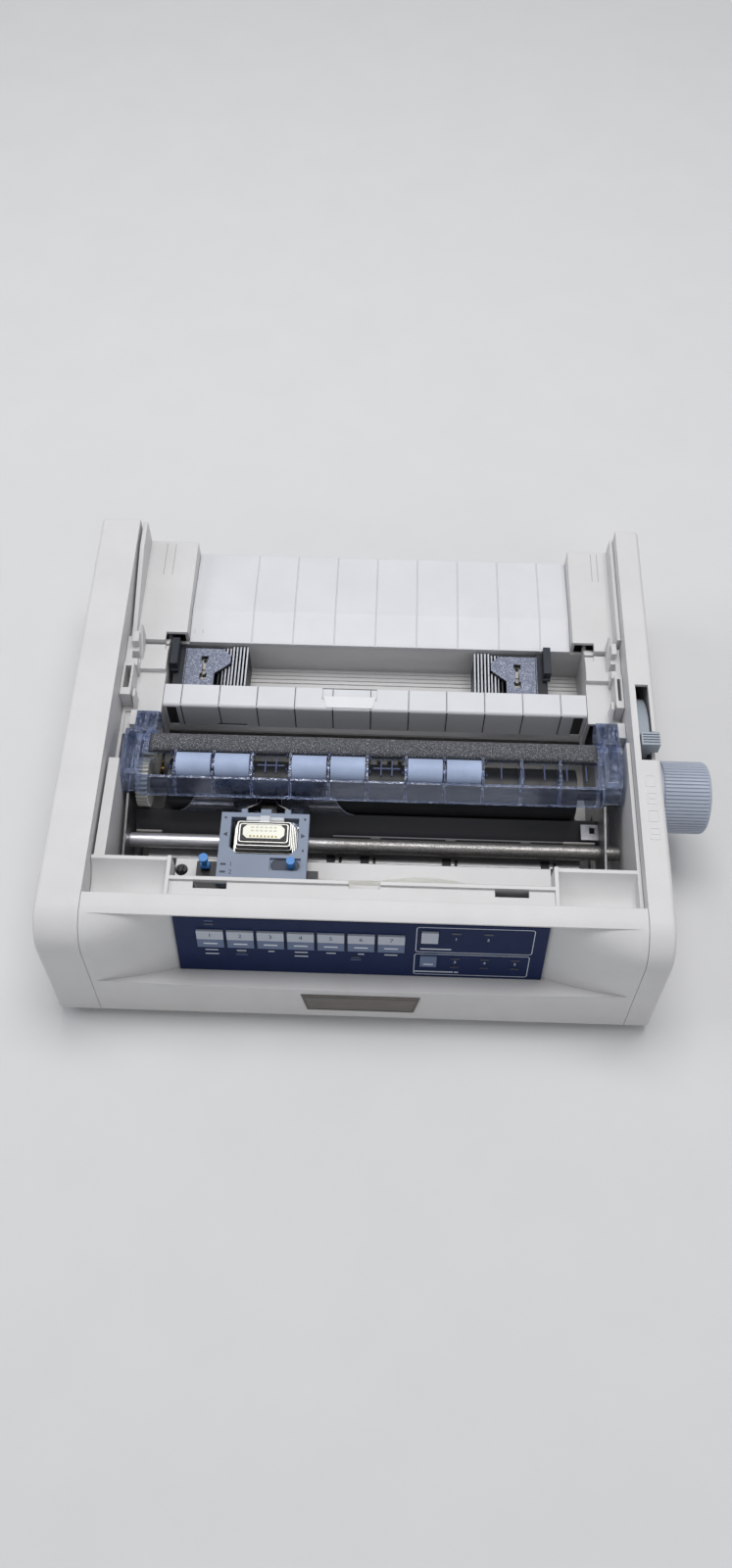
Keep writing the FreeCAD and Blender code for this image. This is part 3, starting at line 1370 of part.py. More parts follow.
def make_knob():
    """The ribbed feed knob, with a plain flange, a rounded outer end and a shaft bore."""
    centre = (size("platen_y"), size("platen_z"))
    inner, outer = size("knob_inner"), size("knob_outer")
    radius = size("knob_radius")
    ribbed_from = inner + size("knob_flange_width")
    ribs = Part.Face(toothed_outline(size("knob_rib_count"), radius - size("knob_rib_depth"), radius,
                                     RIB_ROOT_SHARE, RIB_TIP_SHARE, centre))
    ribs = ribs.extrude(FreeCAD.Vector(outer - ribbed_from, 0, 0))
    ribs.translate(FreeCAD.Vector(ribbed_from, 0, 0))
    barrel = x_rod(radius, ribbed_from, outer, centre)
    rim = [edge for edge in barrel.Edges if near(edge.CenterOfMass.x, outer)]
    barrel = barrel.makeFillet(size("knob_round"), rim)
    flange = x_rod(radius - size("knob_rib_depth") * 2, inner, ribbed_from + size("fit_gap"), centre)
    knob = ribs.common(barrel).fuse(flange)
    bore = x_rod(size("shaft_radius") + size("bearing_gap"), inner - size("overrun"),
                 outer - size("knob_round") - size("knob_flange_width") + size("fit_gap"), centre)
    node("platen_knob", coded("platen_knob_solid", knob.cut(bore)))


# Frames, rails and drive


def frame_plate(name, low, label, centres):
    corners = [
        ("frame_front", "tray_top"),
        ("frame_rear", "tray_top"),
        ("frame_rear", f"frame_top * {FRAME_NECK_SHARE}"),
        ("platen_y + platen_radius * 3", "frame_top - shell_wall * 2"),
        ("platen_y + platen_radius", "frame_top"),
        ("platen_y - platen_radius", "frame_top"),
        ("frame_front", f"frame_top * {FRAME_NECK_SHARE}"),
    ]
    plate = outline_body(name, "YZ_Plane", corners, low, f"{low} + frame_thickness")
    span = (f"{low} - overrun", f"{low} + frame_thickness + overrun")
    tools = [
        rod(name + "_platen_hole", "x", "shaft_radius + bearing_gap", span, "platen_y", "platen_z"),
        rod(name + "_rail_hole", "x", "rail_radius + bearing_gap", span, "rail_y", "rail_z"),
        rod(name + "_drive_hole", "x", "tractor_rod_radius + bearing_gap", span, "tractor_y", "tractor_z"),
        block(name + "_window", span, ("frame_front + overrun * 3", "platen_y"),
              ("tray_wall_height / 2", "rack_low - overrun")),
    ]
    plate = cut(name + "_cut", plate, *tools)
    if label == "left_side_frame":
        axles = []
        for where in ("first", "second"):
            axles.append(coded(f"idler_axle_{where}",
                               x_rod(size("axle_radius"), size("left_frame_right") - size("bearing_gap"),
                                     size("gear_right"), centres[where])))
        plate = joined(name + "_with_axles", plate, *axles)
    else:
        shelf = block("right_bracket", ("right_frame_x - unit_cap_width", "right_frame_x"),
                      ("rail_y + rail_radius + shell_wall * 2", "platen_y - platen_radius"),
                      ("rail_z - frame_thickness", "rail_z"))
        hole = block("right_bracket_hole",
                     ("right_frame_x - unit_cap_width / 2", "right_frame_x - shell_wall"),
                     ("rail_y + rail_radius + shell_wall * 4", "platen_y - platen_radius - shell_wall"),
                     ("rail_z - overrun", "rail_z + overrun"))
        plate = joined(name + "_with_bracket", plate, cut("right_bracket_cut", shelf, hole))
    node(label, plate)


def make_rails():
    node("carriage_shaft", rod("carriage_rail", "x", "rail_radius", ("shaft_end + fit_gap", "rail_right"),
                               "rail_y", "rail_z"))
    node("tractor_guide_rod", rod("tractor_rod", "x", "tractor_rod_radius",
                                  ("well_left - shell_wall", "well_right + shell_wall"),
                                  "tractor_rod_y", "tractor_rod_z"))


def make_rack():
    """The toothed rail that the carriage's pinion climbs along."""
    unit = size("module_size")
    pitch = math.pi * unit
    slack = size("gear_backlash") / 2
    count = int(size("rack_tooth_count"))
    start = size("carriage_x") - pitch * (int((size("carriage_x") - size("left_frame_right")) / pitch) - 2.5)
    top, low = size("rack_top"), size("rack_low")
    left, right = size("left_frame_right") + size("fit_gap"), size("right_frame_x") - size("fit_gap")
    points = [(left, low), (left, top - unit * TOOTH_ROOT_SHARE)]
    for tooth in range(count):
        middle = start + tooth * pitch
        half_root = pitch * ROOT_WIDTH_SHARE / 2 - slack
        half_tip = pitch * TIP_WIDTH_SHARE / 2
        points.append((middle - half_root, top - unit * TOOTH_ROOT_SHARE))
        points.append((middle - half_tip, top + unit * TOOTH_TIP_SHARE))
        points.append((middle + half_tip, top + unit * TOOTH_TIP_SHARE))
        points.append((middle + half_root, top - unit * TOOTH_ROOT_SHARE))
    points += [(right, top - unit * TOOTH_ROOT_SHARE), (right, low), (left, low)]
    outline = Part.makePolygon([FreeCAD.Vector(x, size("rack_front"), z) for x, z in points])
    beam = Part.Face(outline).extrude(FreeCAD.Vector(0, size("rack_width"), 0))
    node("carriage_rack", coded("rack_beam", beam))


def make_platen_guide():
    """The sheet under and in front of the platen that turns the paper up."""
    gap = size("platen_radius") + size("guide_gap")
    centre = (size("platen_y"), size("platen_z"))
    sheet = size("guide_sheet")
    low, high = size("platen_left") - size("overrun"), size("platen_right") + size("shell_wall")
    tube = x_rod(gap + sheet, low, high, centre).cut(x_rod(gap, low - sheet, high + sheet, centre))
    keep_front = centre[0] - gap * math.cos(math.radians(GUIDE_START_ANGLE))
    keep_top = centre[1] - gap * math.sin(math.radians(GUIDE_START_ANGLE))
    keeper = Part.makeBox(high - low, size("guide_curl_width"), gap,
                          FreeCAD.Vector(low, keep_front, keep_top - gap))
    curl = tube.common(keeper)
    reach = size("rail_y") + size("rail_radius") + size("sleeve_wall") + sheet
    profile = [
        (keep_front + sheet, keep_top - sheet),
        (keep_front, keep_top),
        (reach, size("carriage_low") - sheet * 3),
        (reach, size("carriage_low") - sheet * 4),
    ]
    span_left = size("left_frame_right") + size("fit_gap")
    span_right = size("right_frame_x") - size("fit_gap")
    wire = Part.makePolygon([FreeCAD.Vector(span_left, y, z) for y, z in profile + profile[:1]])
    slope = Part.Face(wire).extrude(FreeCAD.Vector(span_right - span_left, 0, 0))
    node("platen_guide", coded("platen_guide_solid", curl.fuse(slope)))


def make_motor(centres):
    """The line feed motor, beside the gear train."""
    low = size("gear_right") + size("gear_width") / 2
    body = x_rod(size("motor_radius"), low, low + size("motor_length"), centres["motor"])
    half_flange = size("motor_radius") * MOTOR_FLANGE_SHARE
    flange = Part.makeBox(size("shell_wall") / 2, half_flange * 2, size("motor_radius"),
                          FreeCAD.Vector(low, centres["motor"][0] - half_flange,
                                         size("tray_top") + size("fit_gap")))
    bore = x_rod(size("axle_radius") + size("fit_gap"), low - size("overrun"), low + size("overrun"),
                 centres["motor"])
    node("line_feed_motor", coded("line_feed_motor_solid", body.fuse(flange).cut(bore)))


def make_drive_shaft(drive_gear):
    """The square tractor drive shaft, with round ends and its gear."""
    half = "tractor_bar / 2"
    bar = block("drive_bar", ("gear_left", "right_frame_x - overrun"),
                (f"tractor_y - {half}", f"tractor_y + {half}"),
                (f"tractor_z - {half}", f"tractor_z + {half}"))
    journal = rod("drive_journal", "x", "tractor_rod_radius",
                  ("shaft_end", "right_frame_right + frame_thickness"), "tractor_y", "tractor_z")
    node("tractor_drive_shaft", joined("drive_shaft", bar, journal, coded("drive_gear_solid", drive_gear)))


# Tractors


def tractor(side, edge, mirror):
    """One tractor: housing, belt slot, comb, lid, lock lever and sprocket."""
    def along(start, end):
        """A span measured from the outer edge towards the paper."""
        if mirror:
            return (f"{edge} - ({end})", f"{edge} - ({start})")
        return (f"{edge} + ({start})", f"{edge} + ({end})")
    lid_end = "tractor_housing + tractor_lid_width"
    run = ("tractor_front", "tractor_rear")
    slot_start = "tractor_housing + belt_slot_start"
    housing = block(f"{side}_housing", along("0", "tractor_housing - fit_gap"), run,
                    ("tractor_low", "tractor_top"))
    core = block(f"{side}_core", along("0", "tractor_inset"), run,
                 ("tractor_low", "tractor_top - shell_wall"))
    comb_base = block(f"{side}_comb_base", along("tractor_housing", "tractor_width"), run,
                      ("tractor_low", "tractor_low + shell_wall"))
    comb_floor = block(f"{side}_comb_floor", along("tractor_inset - shell_wall", "tractor_width"),
                       ("tractor_front", "tractor_rod_y + tractor_bar"),
                       ("tractor_low", "tractor_z + tractor_bar"))
    pieces = [housing, core, comb_base, comb_floor]
    for number in range(int(size("tractor_fin_count"))):
        place = f"tractor_width - fin_thickness - {number} * fin_pitch"
        start = size("tractor_width") - size("fin_thickness") - number * size("fin_pitch")
        beside_lid = start > size("tractor_housing") + size("tractor_lid_width") + size("fit_gap")
        top = "tractor_top - fit_gap" if beside_lid else "lid_low - fit_gap"
        pieces.append(block(f"{side}_fin_{number + 1}", along(place, f"{place} + fin_thickness"), run,
                            ("tractor_low", top)))
    solid = joined(f"{side}_tractor_walls", *pieces)
    whole = along("-overrun", "tractor_width + overrun")
    tools = [
        block(f"{side}_belt_slot", along(slot_start, f"{slot_start} + belt_slot_width"),
              ("tractor_front - overrun", "tractor_rear + overrun"),
              ("tractor_low + shell_wall", "tractor_top + overrun")),
        rod(f"{side}_bar_bore", "x", "tractor_bar * 0.75", whole, "tractor_y", "tractor_z"),
        rod(f"{side}_rod_bore", "x", "tractor_rod_radius + bearing_gap", whole,
            "tractor_rod_y", "tractor_rod_z"),
    ]
    node(f"{side}_tractor_body", cut(f"{side}_tractor_cut", solid, *tools))
    lid_span = along("tractor_housing", lid_end)
    lid_top = "lid_low + tractor_lid_thickness"

    def edge_x(distance):
        return along(distance, distance)[0]
    lid = outline_body(f"{side}_lid_plate", "XY_Plane", [
        (edge_x("tractor_housing"), "tractor_front"),
        (edge_x("tractor_housing"), "tractor_rear - tractor_lid_thickness"),
        (edge_x(f"{lid_end} - tractor_lid_corner"), "tractor_rear - tractor_lid_thickness"),
        (edge_x(lid_end), "tractor_rear - tractor_lid_thickness - tractor_lid_corner"),
        (edge_x(lid_end), "tractor_lid_shoulder"),
        (edge_x("tractor_inset"), "tractor_lid_waist"),
        (edge_x("tractor_inset"), "tractor_front"),
    ], "lid_low", lid_top)
    pin = rod(f"{side}_lid_pin", "y", "lid_pin_radius",
              ("tractor_front", "tractor_rear - tractor_lid_thickness"), edge_x("tractor_housing"), lid_top)
    holes = []
    hole_places = ("tractor_front + tractor_length / 4", "tractor_rear - tractor_length / 3")
    for number, place in enumerate(hole_places):
        hole_span = along(f"{slot_start} + belt_slot_width / 4", f"{slot_start} + belt_slot_width * 3 / 4")
        holes.append(block(f"{side}_lid_hole_{number + 1}", hole_span,
                           (f"{place} - shell_wall", f"{place} + shell_wall"),
                           ("tractor_top - overrun", "tractor_top + overrun")))
    slit_span = along(f"{slot_start} + belt_slot_width * 3 / 8", f"{slot_start} + belt_slot_width * 5 / 8")
    holes.append(block(f"{side}_lid_slit", slit_span,
                       ("tractor_front + tractor_length / 4", "tractor_rear - tractor_length / 3"),
                       ("tractor_top - overrun", "tractor_top + overrun")))
    hinged_lid = joined(f"{side}_hinged_lid", lid, pin)
    node(f"{side}_tractor_lid", cut(f"{side}_lid_cut", hinged_lid, *holes))
    lock_span = along("-post_wall", "tractor_housing / 2 - fit_gap")
    hub_y, hub_z = "tractor_lid_waist + lock_hub_radius", "tractor_top + fit_gap + lock_hub_radius"
    hub = rod(f"{side}_lock_hub", "x", "lock_hub_radius", lock_span, hub_y, hub_z)
    bar = block(f"{side}_lock_bar", lock_span, (hub_y, "tractor_rear - fit_gap"),
                ("tractor_top + fit_gap", "tractor_top + shell_wall * 4"))
    node(f"{side}_tractor_lock", joined(f"{side}_lock_lever", bar, hub))
    wheel_span = along(f"{slot_start} + fit_gap", f"{slot_start} + belt_slot_width - fit_gap")
    wheel = rod(f"{side}_sprocket_rim", "x", "sprocket_radius", wheel_span, "tractor_y", "tractor_z")
    pins = []
    slot_middle = f"{slot_start} + belt_slot_width / 2"
    pin_span = along(f"{slot_middle} - sprocket_pin", f"{slot_middle} + sprocket_pin")
    for number in range(int(size("sprocket_pin_count"))):
        pin = doc.addObject("Part::Box", f"{side}_pin_{number + 1}")
        bind(pin, "Length", f"({pin_span[1]}) - ({pin_span[0]})")
        bind(pin, "Width", "sprocket_pin")
        bind(pin, "Height", "sprocket_radius + sprocket_pin")
        angle = 360.0 * number / size("sprocket_pin_count")
        pin.Placement = FreeCAD.Placement(FreeCAD.Vector(), FreeCAD.Rotation(FreeCAD.Vector(1, 0, 0), angle))
        turn = math.radians(angle)
        bind(pin, "Placement.Base.x", pin_span[0])
        bind(pin, "Placement.Base.y", f"tractor_y - sprocket_pin / 2 * {math.cos(turn)}")
        bind(pin, "Placement.Base.z", f"tractor_z - sprocket_pin / 2 * {math.sin(turn)}")
        pins.append(pin)
    bar_half = "(tractor_bar / 2 + bearing_gap)"
    bore = block(f"{side}_sprocket_bore", along(slot_start, f"{slot_start} + belt_slot_width"),
                 (f"tractor_y - {bar_half}", f"tractor_y + {bar_half}"),
                 (f"tractor_z - {bar_half}", f"tractor_z + {bar_half}"))
    spiked = joined(f"{side}_sprocket_solid", wheel, *pins)
    node(f"{side}_tractor_sprocket", cut(f"{side}_sprocket_cut", spiked, bore))


# Roller unit over the platen


def make_roller_unit():
    """The clear hinged frame with its end blocks, ribs, foam ledge and front skirt."""
    inner = ("unit_cap_left - fit_gap", "unit_cap_right + fit_gap")
    pieces = []
    brackets = {"left": ("left_bracket_left", "left_bracket_right"),
                "right": ("right_bracket_left", "unit_right")}
    caps = (("left", "unit_left", "unit_cap_left"), ("right", "unit_cap_right", "unit_right"))
    for side, low, high in caps:
        cheek = outline_body(f"unit_{side}_cheek", "YZ_Plane", [
            ("unit_rear", "unit_floor"),
            ("unit_rear", "unit_cap_top - shell_wall"),
            ("foam_rear - foam_depth / 2", "unit_cap_top"),
            ("roller_y", "unit_cap_top"),
            ("roller_y - roller_radius", "unit_cap_top - foam_height"),
            ("unit_front + unit_sheet", "unit_front_low + shell_wall"),
            ("roller_y - roller_radius", "unit_floor"),
        ], low, high)
        scoop = block(f"unit_{side}_scoop", (f"{low} + shell_wall", f"{high} - shell_wall"),
                      ("roller_y - roller_radius + shell_wall", "unit_rear - shell_wall"),
                      ("unit_floor + shell_wall", "unit_cap_top + overrun"))
        pieces.append(cut(f"unit_{side}_cap", cheek, scoop))
        bracket = outline_body(f"unit_{side}_bracket", "YZ_Plane", [
            ("unit_bracket_front", "unit_floor"),
            ("unit_pivot_y - pivot_radius * 2", "unit_pivot_z - pivot_radius * 2"),
            ("unit_bracket_rear - shell_wall", "unit_pivot_z - pivot_radius * 2"),
            ("unit_bracket_rear", "unit_pivot_z"),
            ("unit_bracket_rear - shell_wall", "unit_cap_top - foam_height"),
            ("unit_bracket_front", "unit_cap_top - shell_wall"),
        ], *brackets[side])
        slots = []
        for number in range(2):
            start = f"{brackets[side][0]} + unit_bracket_width * {number * 0.5} + shell_wall / 2"
            slots.append(block(f"unit_{side}_bracket_slot_{number + 1}",
                               (start, f"{start} + unit_bracket_width / 2 - shell_wall"),
                               ("unit_bracket_front + shell_wall", "unit_bracket_rear - shell_wall * 2"),
                               ("unit_pivot_z + shell_wall", "unit_cap_top + overrun")))
        pieces.append(cut(f"unit_{side}_bracket_cut", bracket, *slots))
    pieces.append(rod("unit_left_pin", "x", "pivot_radius",
                      ("left_bracket_left - pivot_radius", "left_bracket_left + shell_wall"),
                      "unit_pivot_y", "unit_pivot_z"))
    pieces.append(rod("unit_right_pin", "x", "pivot_radius",
                      ("unit_right - shell_wall", "unit_right + pivot_radius - fit_gap"),
                      "unit_pivot_y", "unit_pivot_z"))
    pieces.append(block("unit_ledge", inner, ("foam_rear - foam_depth", "unit_rear"),
                        ("unit_top - unit_sheet", "unit_top")))
    pieces.append(block("unit_back", inner, ("unit_rear - unit_sheet", "unit_rear"),
                        ("unit_floor", "unit_top")))
    pieces.append(outline_body("unit_skirt", "YZ_Plane", [
        ("unit_front", "unit_front_low"),
        ("unit_front + unit_sheet", "unit_front_low"),
        ("roller_y - roller_radius - roller_gap", "unit_top"),
        ("roller_y - roller_radius - roller_gap", "unit_top + shell_wall"),
        ("roller_y - roller_radius - roller_gap - unit_sheet", "unit_top + shell_wall"),
    ], *inner))
    for number in range(int(size("bay_count"))):
        place = f"(bay_first + {number} * bay_pitch)"
        pieces.append(outline_body(f"unit_rib_{number + 1}", "YZ_Plane", [
            ("unit_rear", "unit_floor"),
            ("unit_rear", "unit_top"),
            ("foam_rear - foam_depth", "unit_top"),
            ("foam_rear - foam_depth - roller_gap", "roller_z + roller_axle * 2"),
            ("roller_y - roller_radius - roller_gap", "roller_z + roller_axle * 2"),
            ("unit_front", "unit_front_low + unit_sheet"),
            ("unit_front + unit_sheet", "unit_front_low"),
            ("roller_y - roller_radius", "unit_floor"),
        ], f"{place} - unit_sheet / 2", f"{place} + unit_sheet / 2"))
    bores = [rod("axle_bores", "x", "roller_axle + bearing_gap",
                 ("bay_first - bay_pitch / 4", "bay_first + bay_pitch * 8 + bay_pitch / 4"),
                 "roller_y", "roller_z")]
    node("roller_unit_frame", cut("unit_cut", joined("unit_solid", *pieces), *bores))
    foam = outline_body("foam", "YZ_Plane", [
        ("foam_rear", "unit_top"),
        ("foam_rear", f"unit_top + foam_height * {FOAM_EDGE_SHARE}"),
        ("foam_rear - foam_depth / 4", "unit_top + foam_height"),
        ("foam_rear - foam_depth * 3 / 4", "unit_top + foam_height"),
        ("foam_rear - foam_depth", f"unit_top + foam_height * {FOAM_EDGE_SHARE}"),
        ("foam_rear - foam_depth", "unit_top"),
    ], "foam_left", "foam_right")
    node("foam_strip", foam)


def make_pinch_rollers():
    """Three axles with two rollers each, one pair to a bay and the next."""
    for pair in range(3):
        start = f"bay_first + {pair * 3} * bay_pitch"
        pieces = [rod(f"pinch_axle_{pair + 1}", "x", "roller_axle",
                      (f"{start} - unit_sheet / 2", f"{start} + bay_pitch * 2 + unit_sheet / 2"),
                      "roller_y", "roller_z")]
        for bay in range(2):
            low = f"{start} + {bay} * bay_pitch + unit_sheet / 2 + roller_gap"
            pieces.append(rod(f"pinch_roller_{pair + 1}_{bay + 1}", "x", "roller_radius",
                              (low, f"{low} + roller_length"), "roller_y", "roller_z"))
        node(f"pinch_rollers_{pair + 1}", joined(f"pinch_rollers_solid_{pair + 1}", *pieces))


# Carriage and what rides on it


def make_carriage():
    """The cradle that slides on the shaft: sleeve, cheeks, arms and lever foot."""
    sleeve = block("sleeve", ("cheek_left", "cheek_right"), ("sleeve_front", "sleeve_rear"),
                   ("carriage_low", "sleeve_top"))
    pieces = [sleeve]
    rack_clear = "rack_top + module_size + fit_gap"
    for side, low, high in (("left", "cheek_left", "cheek_left + cheek_width"),
                            ("right", "cheek_right - cheek_width", "cheek_right")):
        pieces.append(block(f"{side}_cheek", (low, high), ("rack_rear + fit_gap", "sleeve_rear"),
                            ("carriage_low", "cradle_top")))
        pieces.append(block(f"{side}_cheek_front", (low, high),
                            ("motor_plate_front", "rack_rear + shell_wall"),
                            (rack_clear, "apron_height - shell_wall - fit_gap * 2")))
        pieces.append(block(f"{side}_cheek_top", (low, high), ("arm_rear", "rack_rear + shell_wall"),
                            (rack_clear, "cradle_top")))
        pieces.append(block(f"{side}_arm", (low, high), ("cartridge_front", "sleeve_rear"),
                            ("arm_low", "cradle_top")))
    pieces.append(block("motor_plate", ("cheek_left", "cheek_right"),
                        ("motor_plate_front", "motor_plate_rear"),
                        (rack_clear, "apron_height - shell_wall - fit_gap * 2")))
    pieces.append(block("front_beam", ("cheek_left", "cheek_right"),
                        ("cartridge_front", "window_front - overrun"), ("arm_low", "cradle_top")))
    pieces.append(block("lever_foot",
                        ("carriage_x - gap_lever_x - gap_lever_radius * 2", "cheek_left + shell_wall"),
                        ("cartridge_front", "gap_lever_y + gap_lever_radius * 1.5"),
                        ("arm_low", "gap_lever_z - gap_lever_radius")))
    pieces.append(block("cable_clamp", ("cheek_right - shell_wall", "cheek_right + cable_width"),
                        ("cable_front", "cable_front + cable_width + shell_wall"),
                        ("arm_low", "cradle_top - shell_wall")))
    plate_hole = rod("motor_plate_hole", "y", f"axle_radius * {AXLE_STUB_SHARE} + fit_gap",
                     ("motor_plate_front - overrun", "motor_plate_rear + overrun"),
                     "carriage_x", "pinion_axis_z")
    bore = rod("sleeve_bore", "x", "rail_radius + bearing_gap",
               ("cheek_left - overrun", "cheek_right + overrun"), "rail_y", "rail_z")
    node("carriage", cut("carriage_cut", joined("carriage_solid", *pieces), bore, plate_hole))


def make_print_head():
    """A stack of cooling fins under a flat cap, with a nose towards the platen."""
    middle_y = "(head_rear - head_depth / 2)"
    pieces = [block("head_base", ("carriage_x - head_width / 2", "carriage_x + head_width / 2"),
                    ("rack_rear + fit_gap * 2", "head_rear"),
                    ("head_low", "head_low + nose_height"))]
    levels = int(size("head_fin_count"))
    step = "((head_top - head_low - nose_height) / head_fin_count)"
    for number in range(levels):
        shrink = 1 - HEAD_SWELL_SHARE * number / (levels - 1)
        half_x = f"(head_width / 2 * {shrink})"
        half_y = f"(head_depth / 2 * {shrink * shrink})"
        low = f"head_low + nose_height + {number} * {step}"
        pieces.append(block(f"head_fin_{number + 1}", (f"carriage_x - {half_x}", f"carriage_x + {half_x}"),
                            (f"{middle_y} - {half_y}", f"{middle_y} + {half_y}"),
                            (f"{low} + {step} * {1 - HEAD_STEP_SHARE}", f"{low} + {step}")))
    half_x = "head_cap_width / 2"
    pieces.append(block("head_core", (f"carriage_x - {half_x}", f"carriage_x + {half_x}"),
                        (f"{middle_y} - head_cap_depth / 2", f"{middle_y} + head_cap_depth / 2"),
                        ("head_low + shell_wall * 1.3", "head_top + fit_gap * 3")))
    tip = "platen_y - platen_radius - nose_gap"
    pieces.append(block("nose", ("carriage_x - nose_width / 2", "carriage_x + nose_width / 2"),
                        ("head_rear - shell_wall", tip), ("head_low", "platen_z + nose_height / 2")))
    node("print_head", joined("print_head_solid", *pieces))


def make_cartridge():
    """The ribbon cartridge: a frame round the head, with tabs at its rear edge."""
    plate = block("cartridge_plate", ("cartridge_left", "cartridge_right"),
                  ("cartridge_front", "cartridge_rear"),
                  ("cartridge_low", "cartridge_top"))
    tabs = []
    for number, (shift, width) in enumerate((("-tab_pitch", "end_tab_width"), ("0", "middle_tab_width"),
                                             ("tab_pitch", "end_tab_width"))):
        tabs.append(block(f"cartridge_tab_{number + 1}",
                          (f"carriage_x + {shift} - {width} / 2", f"carriage_x + {shift} + {width} / 2"),
                          ("cartridge_rear - fit_gap", "cartridge_rear + rim_lip * 2"),
                          ("cartridge_low + fit_gap", "cartridge_top - rim_lip")))
    solid = joined("cartridge_solid", plate, *tabs)
    half = "window_width / 2"
    window = outline_body("cartridge_window", "XY_Plane", [
        (f"carriage_x - {half}", "window_rear"),
        (f"carriage_x - {half}", "window_front + window_chamfer"),
        (f"carriage_x - {half} + window_chamfer", "window_front"),
        (f"carriage_x + {half} - window_chamfer", "window_front"),
        (f"carriage_x + {half}", "window_front + window_chamfer"),
        (f"carriage_x + {half}", "window_rear"),
    ], "cartridge_low - overrun", "cartridge_top + overrun")
    recess = block("ribbon_knob_recess", ("carriage_x + ribbon_knob_x - ribbon_knob_radius * 5",
                                          "carriage_x + ribbon_knob_x + ribbon_knob_radius * 2.2"),
                   ("ribbon_knob_y - ribbon_knob_radius * 1.6", "ribbon_knob_y + ribbon_knob_radius * 1.6"),
                   ("cartridge_top - rim_lip", "cartridge_top + overrun"))
    node("ribbon_cartridge", cut("cartridge_cut", solid, window, recess))
    node("ribbon_knob", rod("ribbon_knob_solid", "z", "ribbon_knob_radius",
                            ("cartridge_top - rim_lip + bearing_gap", "cartridge_top + ribbon_knob_height"),
                            "carriage_x + ribbon_knob_x", "ribbon_knob_y"))


def make_guards():
    """Clear film guards bent round the platen, one each side of the nose."""
    centre = (size("platen_y"), size("platen_z"))
    inner = size("platen_radius") + size("guard_gap")
    sheet = size("guard_sheet")
    middle = size("carriage_x")
    left, right = middle - size("guard_left"), middle + size("guard_right")
    tube = x_rod(inner + sheet, left, right, centre).cut(x_rod(inner, left - sheet, right + sheet, centre))
    top = size("unit_front_low") - size("shell_wall")
    low = size("platen_z") - size("nose_height") * CAPTURE_SHARE
    slab = Part.makeBox(right - left, inner, top - low, FreeCAD.Vector(left, centre[0] - inner - sheet, low))
    guard = tube.common(slab)
    notch = size("guard_notch")
    opening = Part.makeBox(notch, inner * 2, top,
                           FreeCAD.Vector(middle - notch / 2, centre[0] - inner * 2,
                                          centre[1] - size("nose_height") * NOTCH_SHARE))
    slant = size("guard_slant")
    face = Part.makePolygon([FreeCAD.Vector(x, centre[0] - inner * 2, z) for x, z in (
        (left, low - sheet), (left + slant, top + sheet), (right - slant, top + sheet), (right, low - sheet),
        (left, low - sheet))])
    outline = Part.Face(face).extrude(FreeCAD.Vector(0, inner * 3, 0))
    guard = guard.cut(opening).common(outline)
    edge = centre[0] - math.sqrt((inner + sheet / 2) ** 2 - (centre[1] - low - sheet) ** 2)
    start = size("sleeve_rear") + size("bearing_gap")
    foot = Part.makeBox(size("window_width"), edge - start, sheet,
                        FreeCAD.Vector(middle - size("window_width") / 2, start, low))
    node("film_guards", coded("film_guards_solid", guard.fuse(foot)))


def make_gap_lever():
    """The small lever that sets the gap between head and platen."""
    x = "carriage_x - gap_lever_x"
    stem = block("gap_lever_stem", (f"{x} - gap_lever_radius / 2", f"{x} + gap_lever_radius / 2"),
                 ("gap_lever_y - gap_lever_radius / 2", "gap_lever_y + gap_lever_radius / 2"),
                 ("gap_lever_z - gap_lever_radius / 2", "gap_lever_top - gap_lever_radius / 2"))
    cap = rod("gap_lever_cap", "z", "gap_lever_radius",
              ("gap_lever_top - gap_lever_radius", "gap_lever_top"), x, "gap_lever_y")
    hub = rod("gap_lever_hub", "x", "gap_lever_radius * 0.8",
              (f"{x} - gap_lever_radius", f"{x} + gap_lever_radius"), "gap_lever_y", "gap_lever_z")
    node("head_gap_lever", joined("gap_lever_solid", stem, cap, hub))


def make_space_motor():
    """The carriage's own motor and the pinion that runs along the rack."""
    motor = rod("space_motor_body", "y", "space_motor_radius",
                ("space_motor_rear - space_motor_length", "space_motor_rear"), "carriage_x", "pinion_axis_z")
    bore = rod("space_motor_bore", "y", "axle_radius + fit_gap",
               ("space_motor_rear - shell_wall", "space_motor_rear + overrun"), "carriage_x", "pinion_axis_z")
    node("space_motor", cut("space_motor_cut", motor, bore))
    unit = size("module_size")
    teeth = size("pinion_teeth")
    slack = size("gear_backlash") / (math.pi * unit)
    outline = toothed_outline(teeth, unit * teeth / 2 - unit * TOOTH_ROOT_SHARE,
                              unit * teeth / 2 + unit * TOOTH_TIP_SHARE,
                              ROOT_WIDTH_SHARE - slack, TIP_WIDTH_SHARE, (0.0, 0.0), -math.pi / 2)
    wheel = Part.Face(outline).extrude(FreeCAD.Vector(size("rack_width") - size("fit_gap"), 0, 0))
    stub = x_rod(size("axle_radius") * AXLE_STUB_SHARE, -size("fit_gap") - size("shell_wall"),
                 size("fit_gap"), (0.0, 0.0))
    pinion = coded("space_pinion_solid", wheel.fuse(stub))
    pinion.Placement = FreeCAD.Placement(
        FreeCAD.Vector(size("carriage_x"), size("rack_front") + size("fit_gap") / 2, size("pinion_axis_z")),
        FreeCAD.Rotation(FreeCAD.Vector(0, 0, 1), 90))
    node("space_motor_pinion", pinion)


